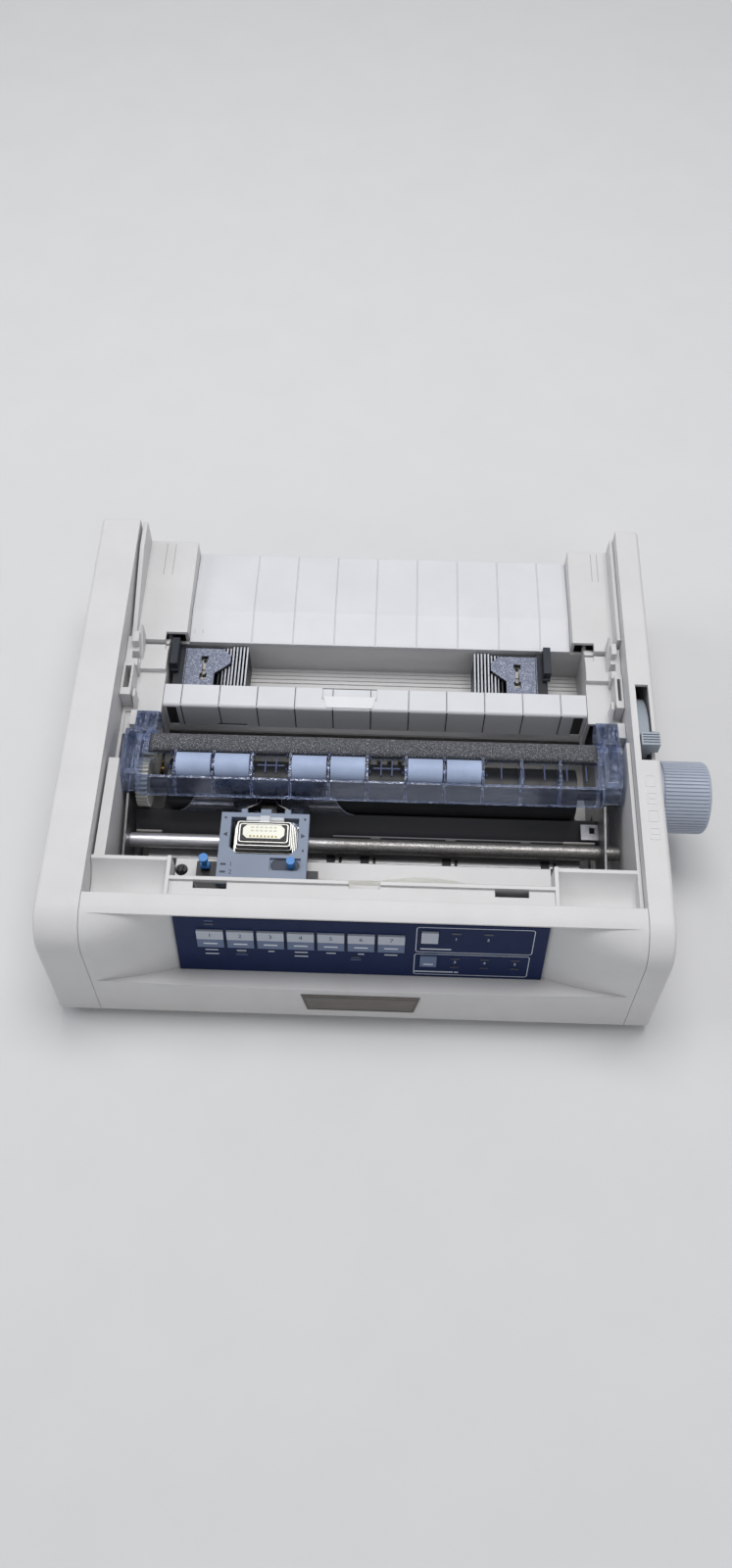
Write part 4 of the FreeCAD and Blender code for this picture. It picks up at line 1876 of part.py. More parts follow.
def make_cable():
    """The flat white cable from the carriage to its fixed end, with a hump on the apron."""
    thick = size("cable_thickness")
    floor = size("apron_height") + size("fit_gap")
    start, end = size("cheek_right") + size("fit_gap"), size("cable_end")
    hump, length, rise = size("cable_hump_start"), size("cable_hump_length"), size("cable_hump_height")

    def level(offset):
        return [FreeCAD.Vector(start, 0, floor + offset), FreeCAD.Vector(hump, 0, floor + offset),
                FreeCAD.Vector(hump + length / 2, 0, floor + rise + offset),
                FreeCAD.Vector(hump + length, 0, floor + offset), FreeCAD.Vector(end, 0, floor + offset)]
    low, high = level(0), level(thick)
    edges = [
        Part.LineSegment(low[0], low[1]).toShape(),
        Part.Arc(low[1], low[2], low[3]).toShape(),
        Part.LineSegment(low[3], low[4]).toShape(),
        Part.LineSegment(low[4], high[4]).toShape(),
        Part.LineSegment(high[4], high[3]).toShape(),
        Part.Arc(high[3], high[2], high[1]).toShape(),
        Part.LineSegment(high[1], high[0]).toShape(),
        Part.LineSegment(high[0], low[0]).toShape(),
    ]
    strip = Part.Face(Part.Wire(edges)).extrude(FreeCAD.Vector(0, size("cable_width"), 0))
    strip.translate(FreeCAD.Vector(0, size("cable_front"), 0))
    node("head_cable", coded("head_cable_strip", strip))


# Paper lever, power entry and boards


def make_paper_lever():
    """The lever in the right-hand cover: pivot hub, arm, curved shield and ribbed grip."""
    span = ("lever_left", "lever_right")
    hub = rod("lever_hub", "x", "lever_arm_width", span, "lever_pivot_y", "lever_pivot_z")
    arm = block("lever_arm", span, ("lever_grip_y - lever_arm_width", "lever_pivot_y"),
                ("lever_pivot_z", "lever_grip_low"))
    grip = block("lever_grip", ("slot_left + lever_play / 2", "case_right + rim_lip / 4"),
                 ("lever_grip_y - lever_grip_depth / 2", "lever_grip_y + lever_grip_depth / 2"),
                 ("lever_grip_low", "lever_grip_top"))
    tools = []
    for number in range(int(size("lever_rib_count"))):
        place = f"lever_grip_y + lever_grip_depth * (({number} + 1) / (lever_rib_count + 1) - 1 / 2)"
        tools.append(block(f"lever_rib_gap_{number + 1}", ("lever_left", "case_right + overrun"),
                           (f"{place} - groove_cut_width / 2", f"{place} + groove_cut_width / 2"),
                           ("lever_grip_top - groove_cut_width", "lever_grip_top + overrun")))
    wide = ("slot_left + bearing_gap * 8", "slot_right - bearing_gap * 8")
    disc = rod("lever_ring_outer", "x", "lever_shield_radius", wide, "lever_pivot_y", "lever_pivot_z")
    ring = cut("lever_ring", disc, rod("lever_ring_inner", "x", "lever_shield_radius - lever_shield_sheet",
                                       ("lever_left - overrun", "lever_right + overrun"),
                                       "lever_pivot_y", "lever_pivot_z"))
    keep = block("lever_ring_keep", ("lever_left - overrun", "lever_right + overrun"),
                 ("lever_grip_y - lever_arm_width", "lever_slot_rear - fit_gap * 4"),
                 ("lever_pivot_z + lever_shield_radius / 2", "case_height"))
    shield = shared("lever_shield", ring, keep)
    bore = rod("lever_bore", "x", "axle_radius + bearing_gap",
               ("lever_left - overrun", "lever_right + overrun"), "lever_pivot_y", "lever_pivot_z")
    node("paper_lever", cut("lever_cut", joined("lever_solid", hub, arm, grip, shield), bore, *tools))


def make_power_entry():
    """The mains inlet with its switch housing, and the rocker."""
    body = block("inlet_body", ("switch_left", "inlet_right"), ("case_rear - inlet_depth", "case_rear"),
                 ("inlet_low", "inlet_top"))
    flange = block("inlet_flange", ("switch_left - shell_wall", "inlet_right + shell_wall"),
                   ("case_rear + bearing_gap", "case_rear + rim_lip"),
                   ("inlet_low - shell_wall", "inlet_top + shell_wall"))
    neck = block("inlet_neck", ("switch_left", "inlet_right"),
                 ("case_rear - shell_wall", "case_rear + rim_lip"), ("inlet_low", "inlet_top"))
    cavity = block("inlet_cavity", ("inlet_left + shell_wall", "inlet_right - shell_wall"),
                   ("case_rear - inlet_depth + shell_wall", "case_rear + overrun"),
                   ("inlet_low + shell_wall", "inlet_top - shell_wall"))
    pins = []
    for number in range(int(size("inlet_pin_count"))):
        place = f"(inlet_x + ({number} - 1) * inlet_width / 4)"
        pins.append(block(f"inlet_pin_{number + 1}",
                          (f"{place} - fin_thickness / 2", f"{place} + fin_thickness / 2"),
                          ("case_rear - inlet_depth + fit_gap", "case_rear - overrun"),
                          ("inlet_low + inlet_height / 2 - sprocket_pin * 1.5",
                           "inlet_low + inlet_height / 2 + sprocket_pin * 1.5")))
    seat = block("rocker_seat", ("switch_left + shell_wall - rocker_gap", "switch_right - shell_wall / 2"),
                 ("case_rear - inlet_depth / 2", "case_rear + overrun"),
                 ("inlet_low + shell_wall - rocker_gap", "inlet_top - shell_wall + rocker_gap"))
    shell = cut("inlet_shell", joined("inlet_solid", body, flange, neck), cavity, seat)
    axle = rod("rocker_axle", "x", "rocker_axle_radius", ("switch_left + shell_wall / 2", "switch_right"),
               "rocker_axle_y", "rocker_axle_z")
    node("power_inlet", joined("inlet_with_pins", shell, axle, *pins))
    rocker = outline_body("rocker_block", "YZ_Plane", [
        ("case_rear - inlet_depth / 3", "inlet_low + shell_wall + rocker_gap"),
        ("case_rear + rocker_proud", "inlet_low + shell_wall + rocker_gap * 2"),
        ("case_rear + rocker_gap", "inlet_low + inlet_height / 2"),
        ("case_rear + rocker_proud", "inlet_top - shell_wall - rocker_gap * 2"),
        ("case_rear - inlet_depth / 3", "inlet_top - shell_wall - rocker_gap"),
    ], "switch_left + shell_wall", "switch_right - shell_wall / 2 - rocker_gap")
    bore = rod("rocker_bore", "x", "rocker_axle_radius + bearing_gap", ("switch_left", "switch_right"),
               "rocker_axle_y", "rocker_axle_z")
    node("power_rocker", cut("rocker", rocker, bore))


def make_boards():
    """The main board on its standoffs, with its transformer, heat sink and rear connector."""
    board = block("board_plate", ("board_left", "board_right"), ("board_front", "board_rear"),
                  ("board_low", "board_low + board_thickness"))
    pieces = [board]
    for number, (x, y) in enumerate((("board_left", "board_front"), ("board_right - overrun", "board_front"),
                                     ("board_left", "board_rear - overrun"),
                                     ("board_right - overrun", "board_rear - overrun"))):
        pieces.append(block(f"standoff_{number + 1}", (x, f"{x} + overrun"), (y, f"{y} + overrun"),
                            ("tray_top", "board_low")))
    top = "board_low + board_thickness"
    pieces.append(block("connector",
                        ("connector_x - connector_width / 2", "connector_x + connector_width / 2"),
                        ("board_rear - overrun", "case_rear - fit_gap"), (top, f"{top} + connector_height")))
    pieces.append(block("transformer",
                        ("board_right - transformer_width - overrun * 2", "board_right - overrun * 2"),
                        ("board_front + overrun", "board_front + overrun + transformer_depth"),
                        (top, f"{top} + transformer_height")))
    for number in range(int(size("sink_fin_count"))):
        place = f"(board_left + board_right) / 2 + {number} * shell_wall * 2"
        pieces.append(block(f"sink_fin_{number + 1}", (place, f"{place} + fin_thickness"),
                            ("board_front + overrun", "board_rear - overrun * 2"),
                            (top, f"{top} + transformer_height / 2")))
    node("main_board", joined("board_solid", *pieces))


# Build, check and write


def check_parts():
    """Stop if any object failed or any sub-part is empty or broken."""
    for thing in doc.Objects:
        if "Invalid" in thing.State or "Error" in thing.State:
            raise RuntimeError(f"{thing.Name} failed: {thing.State}")
    for part in PARTS:
        if part.Shape.isNull() or not part.Shape.isValid() or not part.Shape.Solids:
            raise RuntimeError(f"{part.Label} has no valid solid")


def write_parts():
    os.makedirs("parts", exist_ok=True)
    for part in PARTS:
        part.Shape.exportStep(f"parts/{part.Label}.step")


def build():
    make_left_cover()
    make_right_cover()
    make_tray()
    make_feet()
    make_upper_case()
    make_well()
    make_ramp()
    make_bridge()
    make_fascia()
    make_panel()
    make_keys()
    make_name_plate()
    centres, drive_gear = make_gears()
    make_platen()
    make_knob()
    frame_plate("left_plate", "left_frame_x", "left_side_frame", centres)
    frame_plate("right_plate", "right_frame_x", "right_side_frame", centres)
    make_rails()
    make_rack()
    make_platen_guide()
    make_motor(centres)
    make_drive_shaft(drive_gear)
    tractor("left", "tractor_left_x", False)
    tractor("right", "tractor_right_x", True)
    make_roller_unit()
    make_pinch_rollers()
    make_carriage()
    make_print_head()
    make_cartridge()
    make_guards()
    make_gap_lever()
    make_space_motor()
    make_cable()
    make_paper_lever()
    make_power_entry()
    make_boards()
    doc.recompute()


build()
check_parts()
write_parts()
for part in PARTS:
    print(part.Label, len(part.Shape.Solids), round(part.Shape.Volume / 1000, 2))
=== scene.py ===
import math

import bmesh
import bpy
from mathutils import Matrix, Vector
from mathutils import noise as mathutils_noise


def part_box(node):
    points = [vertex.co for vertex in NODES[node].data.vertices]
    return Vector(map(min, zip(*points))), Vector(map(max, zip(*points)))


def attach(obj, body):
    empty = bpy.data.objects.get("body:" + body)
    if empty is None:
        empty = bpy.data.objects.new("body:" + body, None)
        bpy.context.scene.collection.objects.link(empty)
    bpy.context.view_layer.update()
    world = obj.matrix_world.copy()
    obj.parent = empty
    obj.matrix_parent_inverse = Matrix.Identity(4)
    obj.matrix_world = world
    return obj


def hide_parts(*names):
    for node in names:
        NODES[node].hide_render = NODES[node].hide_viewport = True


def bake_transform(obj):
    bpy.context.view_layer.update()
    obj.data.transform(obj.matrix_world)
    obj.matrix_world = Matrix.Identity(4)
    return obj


# Looks of a desk-top printer with its covers off. Sizes are in millimetres and are turned
# into metres where a mesh is made, apart from the floor and the lights, which are in metres.
# +X is to the right seen from the front, +Y to the rear.

MM = 0.001

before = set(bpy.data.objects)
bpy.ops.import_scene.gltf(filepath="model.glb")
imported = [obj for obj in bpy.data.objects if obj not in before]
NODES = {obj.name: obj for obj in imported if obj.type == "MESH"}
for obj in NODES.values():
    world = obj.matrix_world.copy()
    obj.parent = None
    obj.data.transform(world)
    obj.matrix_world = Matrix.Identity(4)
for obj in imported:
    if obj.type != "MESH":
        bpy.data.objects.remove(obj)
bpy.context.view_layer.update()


def span(node):
    """Lowest and highest corner of a CAD node, in millimetres."""
    low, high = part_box(node)
    return Vector(low) / MM, Vector(high) / MM


def cad_points(node):
    """The corners of a CAD node's mesh, in millimetres."""
    return [Vector(vertex.co) / MM for vertex in NODES[node].data.vertices]


def centre_x(node):
    """The middle of a CAD node from left to right, in millimetres."""
    low, high = span(node)
    return (low.x + high.x) / 2


# Camera at the photograph's angle, for an image of 747 by 1600 pixels

IMAGE_HEIGHT = 1600
FOCAL_PIXELS = 1249.41
CAMERA_PLACE = Vector((15.704, -444.068, 803.722))
CAMERA_PITCH = math.radians(29.626)
CAMERA_ROLL = math.radians(0.2547)
CAMERA_YAW = math.radians(1.6244)
SENSOR = 36.0
NEAREST_SEEN = 10.0


def make_camera():
    data = bpy.data.cameras.new("photo_camera")
    camera = bpy.data.objects.new("photo_camera", data)
    bpy.context.collection.objects.link(camera)
    turn = (Matrix.Rotation(CAMERA_YAW, 4, "Z") @ Matrix.Rotation(CAMERA_PITCH, 4, "X")
            @ Matrix.Rotation(CAMERA_ROLL, 4, "Z"))
    camera.matrix_world = Matrix.Translation(CAMERA_PLACE * MM) @ turn
    data.sensor_fit = "VERTICAL"
    data.sensor_height = SENSOR
    data.lens = FOCAL_PIXELS / IMAGE_HEIGHT * SENSOR
    data.clip_start = NEAREST_SEEN * MM
    bpy.context.scene.camera = camera


# Node materials


def linear(red, green, blue):
    """An sRGB colour, 0 to 255, as linear values with alpha."""
    def channel(value):
        value /= 255
        return value / 12.92 if value <= 0.04045 else ((value + 0.055) / 1.055) ** 2.4
    return (channel(red), channel(green), channel(blue), 1.0)


class Surface:
    """A material's node tree with short calls for the usual nodes."""

    def __init__(self, name):
        self.material = bpy.data.materials.new(name)
        self.material.use_nodes = True
        self.tree = self.material.node_tree
        self.shader = self.tree.nodes["Principled BSDF"]
        self.output = self.tree.nodes["Material Output"]
        self.place = self.add("ShaderNodeTexCoord").outputs["Object"]

    def add(self, kind, inputs=(), **settings):
        """A node with these settings, its inputs linked to outputs or set to constants."""
        node = self.tree.nodes.new(kind)
        for key, value in settings.items():
            setattr(node, key, value)
        for key, value in dict(inputs).items():
            self.feed(node.inputs[key], value)
        return node

    def feed(self, socket, value):
        """Link an output to a socket, or set a constant on it."""
        if isinstance(value, bpy.types.NodeSocket):
            self.tree.links.new(value, socket)
        else:
            socket.default_value = value

    def scaled(self, x, y, z):
        return self.add("ShaderNodeMapping", {"Vector": self.place, "Scale": (x, y, z)}).outputs["Vector"]

    def noise(self, cell, detail=4.0, roughness=0.6, vector=None):
        """Noise whose cells are about that many millimetres across."""
        inputs = {"Vector": vector or self.place, "Scale": 1 / (cell * MM), "Detail": detail,
                  "Roughness": roughness}
        return self.add("ShaderNodeTexNoise", inputs).outputs["Fac"]

    def ramp(self, value, low, high, first=(0, 0, 0, 1), last=(1, 1, 1, 1)):
        node = self.add("ShaderNodeValToRGB", {"Fac": value})
        for element, position, colour in zip(node.color_ramp.elements, (low, high), (first, last)):
            element.position = position
            element.color = colour
        return node.outputs["Color"]

    def mix(self, factor, first, second, blend="MIX"):
        """Two colours mixed. Sockets 6 and 7 are the node's colours, and 2 is its colour output."""
        inputs = {0: factor, 6: first, 7: second}
        return self.add("ShaderNodeMix", inputs, data_type="RGBA", blend_type=blend).outputs[2]

    def mix_shaders(self, share, first, second):
        return self.add("ShaderNodeMixShader", {0: share, 1: first, 2: second}).outputs[0]

    def math(self, operation, first, second=0.0):
        return self.add("ShaderNodeMath", {0: first, 1: second}, operation=operation).outputs[0]

    def dot(self, first, second):
        inputs = {0: first, 1: second}
        return self.add("ShaderNodeVectorMath", inputs, operation="DOT_PRODUCT").outputs["Value"]

    def normal(self):
        return self.add("ShaderNodeNewGeometry").outputs["Normal"]

    def between(self, value, start, end):
        """0 at the start value and 1 at the end value, and level beyond both."""
        inputs = {"Value": value, "From Min": start, "From Max": end}
        return self.add("ShaderNodeMapRange", inputs).outputs["Result"]

    def level(self, direction, start, end):
        """0 before start and 1 after end, in millimetres along a direction of the row frame."""
        return self.between(self.dot(self.place, direction), start * MM, end * MM)

    def facing_up(self, start=0.5, end=0.8):
        """1 on faces that look up."""
        rise = self.add("ShaderNodeSeparateXYZ", {0: self.normal()}).outputs["Z"]
        return self.between(rise, start, end)

    def edges(self, radius, samples=4):
        """A normal that is rounded at edges, for eased corners."""
        return self.add("ShaderNodeBevel", {"Radius": radius * MM}, samples=samples).outputs["Normal"]

    def dented(self, height, depth, strength=1.0, edge=0.0):
        """A normal with dents up to a depth in millimetres, and with eased edges where edge is set."""
        inputs = {"Height": height, "Distance": depth * MM, "Strength": strength}
        if edge:
            inputs["Normal"] = self.edges(edge)
        return self.add("ShaderNodeBump", inputs).outputs["Normal"]

    def bump(self, height, depth, strength=1.0, edge=0.0):
        self.feed(self.shader.inputs["Normal"], self.dented(height, depth, strength, edge))

    def paint(self, **values):
        """Feed the shader's inputs by their short names."""
        names = {"color": "Base Color", "roughness": "Roughness", "metallic": "Metallic", "alpha": "Alpha",
                 "coat": "Coat Weight", "specular": "Specular IOR Level"}
        for key, value in values.items():
            self.feed(self.shader.inputs[names[key]], value)

    def painted(self):
        """The output that the shader's colour comes from."""
        return self.shader.inputs["Base Color"].links[0].from_socket


def shade(colour, share):
    return tuple(min(1.0, channel * share) for channel in colour[:3]) + (1.0,)


def moulded(name, colour, roughness=0.5, grain=0.5, depth=0.03, mottle=0.03, edge=0.5, smudge=0.03, coat=0.0):
    """Moulded plastic: a fine spark-eroded grain, slow colour drift, faint smudges and eased edges."""
    colour = linear(*colour)
    drift_cell, wiped_cell = 38.0, 11.0
    glossier, duller = 0.06, 0.1
    look = Surface(name)
    drift = look.noise(drift_cell, detail=3.0)
    fine = look.noise(grain, detail=3.0)
    tone = look.mix(look.ramp(drift, 0.3, 0.7), shade(colour, 1 - mottle), shade(colour, 1 + mottle))
    speck = look.ramp(fine, 0.35, 0.65, shade((1, 1, 1), 1 - smudge), (1, 1, 1, 1))
    tone = look.mix(1.0, tone, speck, "MULTIPLY")
    wiped = look.noise(wiped_cell, detail=6.0, roughness=0.7)
    sheen = look.add("ShaderNodeMapRange", {"Value": wiped, "To Min": roughness - glossier,
                                            "To Max": roughness + duller}).outputs["Result"]
    look.paint(color=tone, specular=0.4, coat=coat, roughness=sheen)
    look.bump(fine, depth, 0.6, edge)
    return look


def case_material():
    """Off-white case moulding, a little darker in patches on its lower walls."""
    plain_above, darkest_below = 46.0, 8.0
    look = moulded("case_moulding", (207, 206, 206), roughness=0.46, grain=0.55, depth=0.035, edge=0.6)
    colour = look.painted()
    # The walls turn darker in patches towards the bottom.
    low = look.level((0, 0, 1), plain_above, darkest_below)
    patches = look.noise(26.0, detail=5.0, roughness=0.7)
    dull = look.math("MULTIPLY", low, look.math("MULTIPLY", patches, 0.5))
    look.paint(color=look.mix(dull, colour, linear(176, 172, 166)))
    return look.material


def panel_material():
    """Printed overlay: deep blue under a finely textured clear coat."""
    look = moulded("panel_print", (19, 36, 76), roughness=0.5, grain=0.3, depth=0.012, mottle=0.06,
                   edge=0.25, smudge=0.06)
    look.paint(specular=0.2)
    return look.material


# The operator panel leans back. These directions run up its slope and out of its face.

PANEL_UP = Vector((0, 0.24838, 0.96866))
PANEL_OUT = Vector((0, -0.96866, 0.24838))


def key_material(name, split_at):
    """Key caps: light above and grey below a straight line across them."""
    look = moulded(name, (184, 190, 201), roughness=0.4, grain=0.35, depth=0.012, edge=0.35)
    colour = look.painted()
    half_blend = 0.12
    lower = look.level(PANEL_UP, split_at + half_blend, split_at - half_blend)
    look.paint(color=look.mix(lower, colour, linear(98, 113, 143)))
    return look.material


def tractor_material():
    """Black glass-filled moulding whose upward faces are lighter with a painted sheen, speckled with painted
    highlights.
    """
    look = moulded("tractor_moulding", (36, 39, 47), roughness=0.34, grain=0.45, depth=0.05, mottle=0.1,
                   edge=0.3, smudge=0.1)
    colour = look.painted()
    # Painted sheen: upward faces take lighter colours, speckled as painted highlights.
    flecks = look.ramp(look.noise(0.8, detail=2.0), 0.5, 0.62)
    sheen = look.mix(look.math("MULTIPLY", flecks, 0.6), linear(104, 110, 128), linear(196, 202, 220))
    look.paint(color=look.mix(look.facing_up(0.7, 0.95), colour, sheen))
    return look.material


def fin_material(side):
    """The same moulding with the narrow upper rims of its fins painted almost white as a highlight."""
    look = moulded(f"{side}_fin_moulding", (34, 36, 43), roughness=0.4, grain=0.45, depth=0.05,
                   mottle=0.1, edge=0.15)
    colour = look.painted()
    highlight_start, highlight_end = 6.0, 5.5
    lid_low, lid_high = span(f"{side}_tractor_lid")
    if side == "left":
        inner = (lid_high.x - highlight_start, lid_high.x - highlight_end)
    else:
        inner = (lid_low.x + highlight_start, lid_low.x + highlight_end)
    # Painted highlight: the upward fin rims on the side towards the printer's middle turn almost white in
    # noisy patches.
    rim_highlight = look.math("MULTIPLY", look.facing_up(0.6, 0.9), look.ramp(look.noise(2.0), 0.2, 0.45))
    rim_highlight = look.math("MULTIPLY", rim_highlight, look.level((1, 0, 0), *inner))
    look.paint(color=look.mix(rim_highlight, colour, linear(198, 200, 208)))
    return look.material


def clear_plastic(name, tint, rim, body_share, rim_share, gloss):
    """See-through plastic whose edges and grazing faces gather its colour and catch the light."""
    pale, glint = linear(222, 230, 250), linear(236, 241, 252)
    edge_gain, least_share = 7.0, 0.04
    look = Surface(name)
    haze = look.noise(7.0, detail=5.0, roughness=0.65)
    facing = look.add("ShaderNodeLayerWeight", {"Blend": 0.3})
    tinted = look.mix(look.ramp(haze, 0.3, 0.8), tint, shade(tint, 0.93))
    through = look.add("ShaderNodeBsdfTransparent", {"Color": tinted})
    clouded = look.mix(look.ramp(look.noise(2.4), 0.42, 0.58), rim, pale)
    body = look.add("ShaderNodeBsdfDiffuse", {"Color": clouded})
    turned = look.math("SUBTRACT", 1.0, look.dot(look.edges(0.55, samples=6), look.normal()))
    edge = look.math("MINIMUM", look.math("MULTIPLY", turned, edge_gain), 1.0)
    grazing = look.math("MULTIPLY", facing.outputs["Facing"], body_share)
    share = look.math("ADD", look.math("MULTIPLY", edge, rim_share), look.math("ADD", grazing, least_share))
    filled = look.mix_shaders(share, through.outputs[0], body.outputs[0])
    dull = look.math("ADD", look.math("MULTIPLY", haze, 0.14), 0.02)
    waves = look.dented(look.noise(4.0, detail=3.0), 0.2, edge=0.4)
    shine = look.add("ShaderNodeBsdfGlossy", {"Color": glint, "Roughness": dull, "Normal": waves})
    glossy_share = look.math("ADD", look.math("MULTIPLY", facing.outputs["Fresnel"], 0.8), gloss)
    look.feed(look.output.inputs["Surface"], look.mix_shaders(glossy_share, filled, shine.outputs[0]))
    look.paint(color=rim, roughness=0.1, alpha=0.3)
    return look.material


def clear_material():
    return clear_plastic("clear_blue_plastic", (0.82, 0.87, 0.97, 1.0), linear(44, 66, 152), body_share=0.08,
                         rim_share=0.66, gloss=0.1)


def film_material():
    return clear_plastic("clear_film", (0.93, 0.945, 0.965, 1.0), linear(206, 212, 222), body_share=0.15,
                         rim_share=0.9, gloss=0.14)


def foam_material():
    """Open-pored foam: dark grey, with pale flecks and soft pits."""
    pore_size = 0.8
    look = Surface("open_foam")
    inputs = {"Vector": look.place, "Scale": 1 / (pore_size * MM)}
    pores = look.add("ShaderNodeTexVoronoi", inputs).outputs["Distance"]
    fine = look.noise(0.6, detail=4.0, roughness=0.7)
    tone = look.mix(look.ramp(pores, 0.1, 0.6), linear(44, 45, 49), linear(86, 87, 91))
    flecks = look.ramp(look.noise(0.8, detail=3.0), 0.54, 0.66)
    look.paint(color=look.mix(look.math("MULTIPLY", flecks, 0.6), tone, linear(188, 188, 192)),
               roughness=0.95, specular=0.1)
    look.bump(look.math("ADD", pores, fine), 0.25, 0.7)
    return look.material


def rubber_material(name, colour, roughness=0.62, lathe=0.0):
    """Ground rubber, with fine rings round the roller where lathe is above zero."""
    colour = linear(*colour)
    look = Surface(name)
    rings = look.noise(0.5, detail=3.0, vector=look.scaled(1.0, 0.04, 0.04)) if lathe else look.noise(0.7)
    drift = look.noise(30.0, detail=4.0)
    look.paint(color=look.mix(look.ramp(drift, 0.3, 0.7), shade(colour, 0.86), shade(colour, 1.16)),
               roughness=roughness, specular=0.35)
    look.bump(rings, 0.03, 0.6, 0.3)
    return look.material


def steel_material(name, colour, roughness=0.32, along=(0.02, 1.0, 1.0), dirt=0.25):
    """Steel with fine drawn lines along one axis and thin patches of grease."""
    colour = linear(*colour)
    look = Surface(name)
    lines = look.noise(0.5, detail=4.0, vector=look.scaled(*along))
    patches = look.noise(9.0, detail=6.0, roughness=0.72)
    soiled = look.math("MULTIPLY", look.ramp(patches, 0.5, 0.72), dirt)
    tone = look.mix(look.ramp(lines, 0.3, 0.7), shade(colour, 0.85), shade(colour, 1.1))
    look.paint(color=look.mix(soiled, tone, shade(colour, 0.25)), metallic=1.0,
               roughness=look.math("ADD", look.math("MULTIPLY", soiled, 0.4), roughness))
    look.bump(lines, 0.01, 0.35, 0.3)
    return look.material


def shaft_material():
    """Ground shaft, brighter at its left end with a painted reflection, and duller and peppered with ribbon
    dust further right.
    """
    reflection_until, dull_and_dusty_from = -70.0, -10.0
    look = Surface("ground_shaft")
    streaks = look.noise(0.8, detail=5.0, roughness=0.7, vector=look.scaled(0.12, 1.0, 1.0))
    specks = look.ramp(look.noise(0.7, detail=6.0, roughness=0.8), 0.46, 0.58)
    # Painted reflection: a bright colour at the left end gives way to a duller one on the right, where dark
    # dust specks are added.
    reach = look.level((1, 0, 0), reflection_until, dull_and_dusty_from)
    soiled = look.math("MULTIPLY", look.math("MULTIPLY", specks, reach), 0.7)
    painted_reflection = look.mix(look.ramp(streaks, 0.3, 0.7), linear(196, 196, 200), linear(236, 236, 240))
    dull = look.mix(look.ramp(streaks, 0.3, 0.7), linear(132, 130, 128), linear(176, 174, 172))
    look.paint(color=look.mix(soiled, look.mix(reach, painted_reflection, dull), linear(58, 52, 46)), metallic=0.78,
               roughness=look.math("ADD", look.math("MULTIPLY", soiled, 0.4), 0.36))
    look.bump(streaks, 0.006, 0.3)
    return look.material


def head_material():
    """Black cast fins with a dusty, slightly lighter top."""
    look = Surface("head_casting")
    cast = look.noise(0.5, detail=4.0)
    dust = look.math("MULTIPLY", look.facing_up(), look.ramp(look.noise(2.2, detail=4.0), 0.35, 0.7))
    look.paint(color=look.mix(dust, linear(20, 20, 22), linear(62, 61, 60)), roughness=0.46, specular=0.3)
    look.bump(cast, 0.04, 0.6, 0.25)
    return look.material


def board_material():
    """Green solder mask over faint copper tracks, and dark parts that stand on it."""
    track_pitch, track_width = 7.0, 0.05
    mask_top, parts_low = 17.0, 17.4
    look = Surface("circuit_board")
    tracks = look.add("ShaderNodeTexBrick", {
        "Vector": look.place, "Scale": 1 / (track_pitch * MM), "Mortar Size": track_width,
        "Color1": linear(30, 84, 52), "Color2": linear(26, 74, 46), "Mortar": linear(64, 122, 78)})
    parts = look.level((0, 0, 1), mask_top, parts_low)
    grain = look.noise(0.6)
    dark = look.mix(look.ramp(grain, 0.4, 0.6), linear(58, 58, 60), linear(80, 80, 82))
    look.paint(color=look.mix(parts, tracks.outputs["Color"], dark), roughness=0.4, coat=0.2)
    look.bump(grain, 0.03, 0.4)
    return look.material


def plastic(name, colour, **settings):
    """A moulding that needs nothing beyond the usual look."""
    return moulded(name, colour, **settings).material


def plate_material():
    """Smoked, brushed badge, left bare."""
    look = Surface("bare_badge")
    lines = look.noise(0.5, detail=3.0, vector=look.scaled(0.03, 1.0, 1.0))
    look.paint(color=look.mix(look.ramp(lines, 0.3, 0.7), linear(82, 77, 73), linear(112, 106, 101)),
               roughness=0.34, metallic=0.35)
    look.bump(lines, 0.01, 0.4, 0.3)
    return look.material


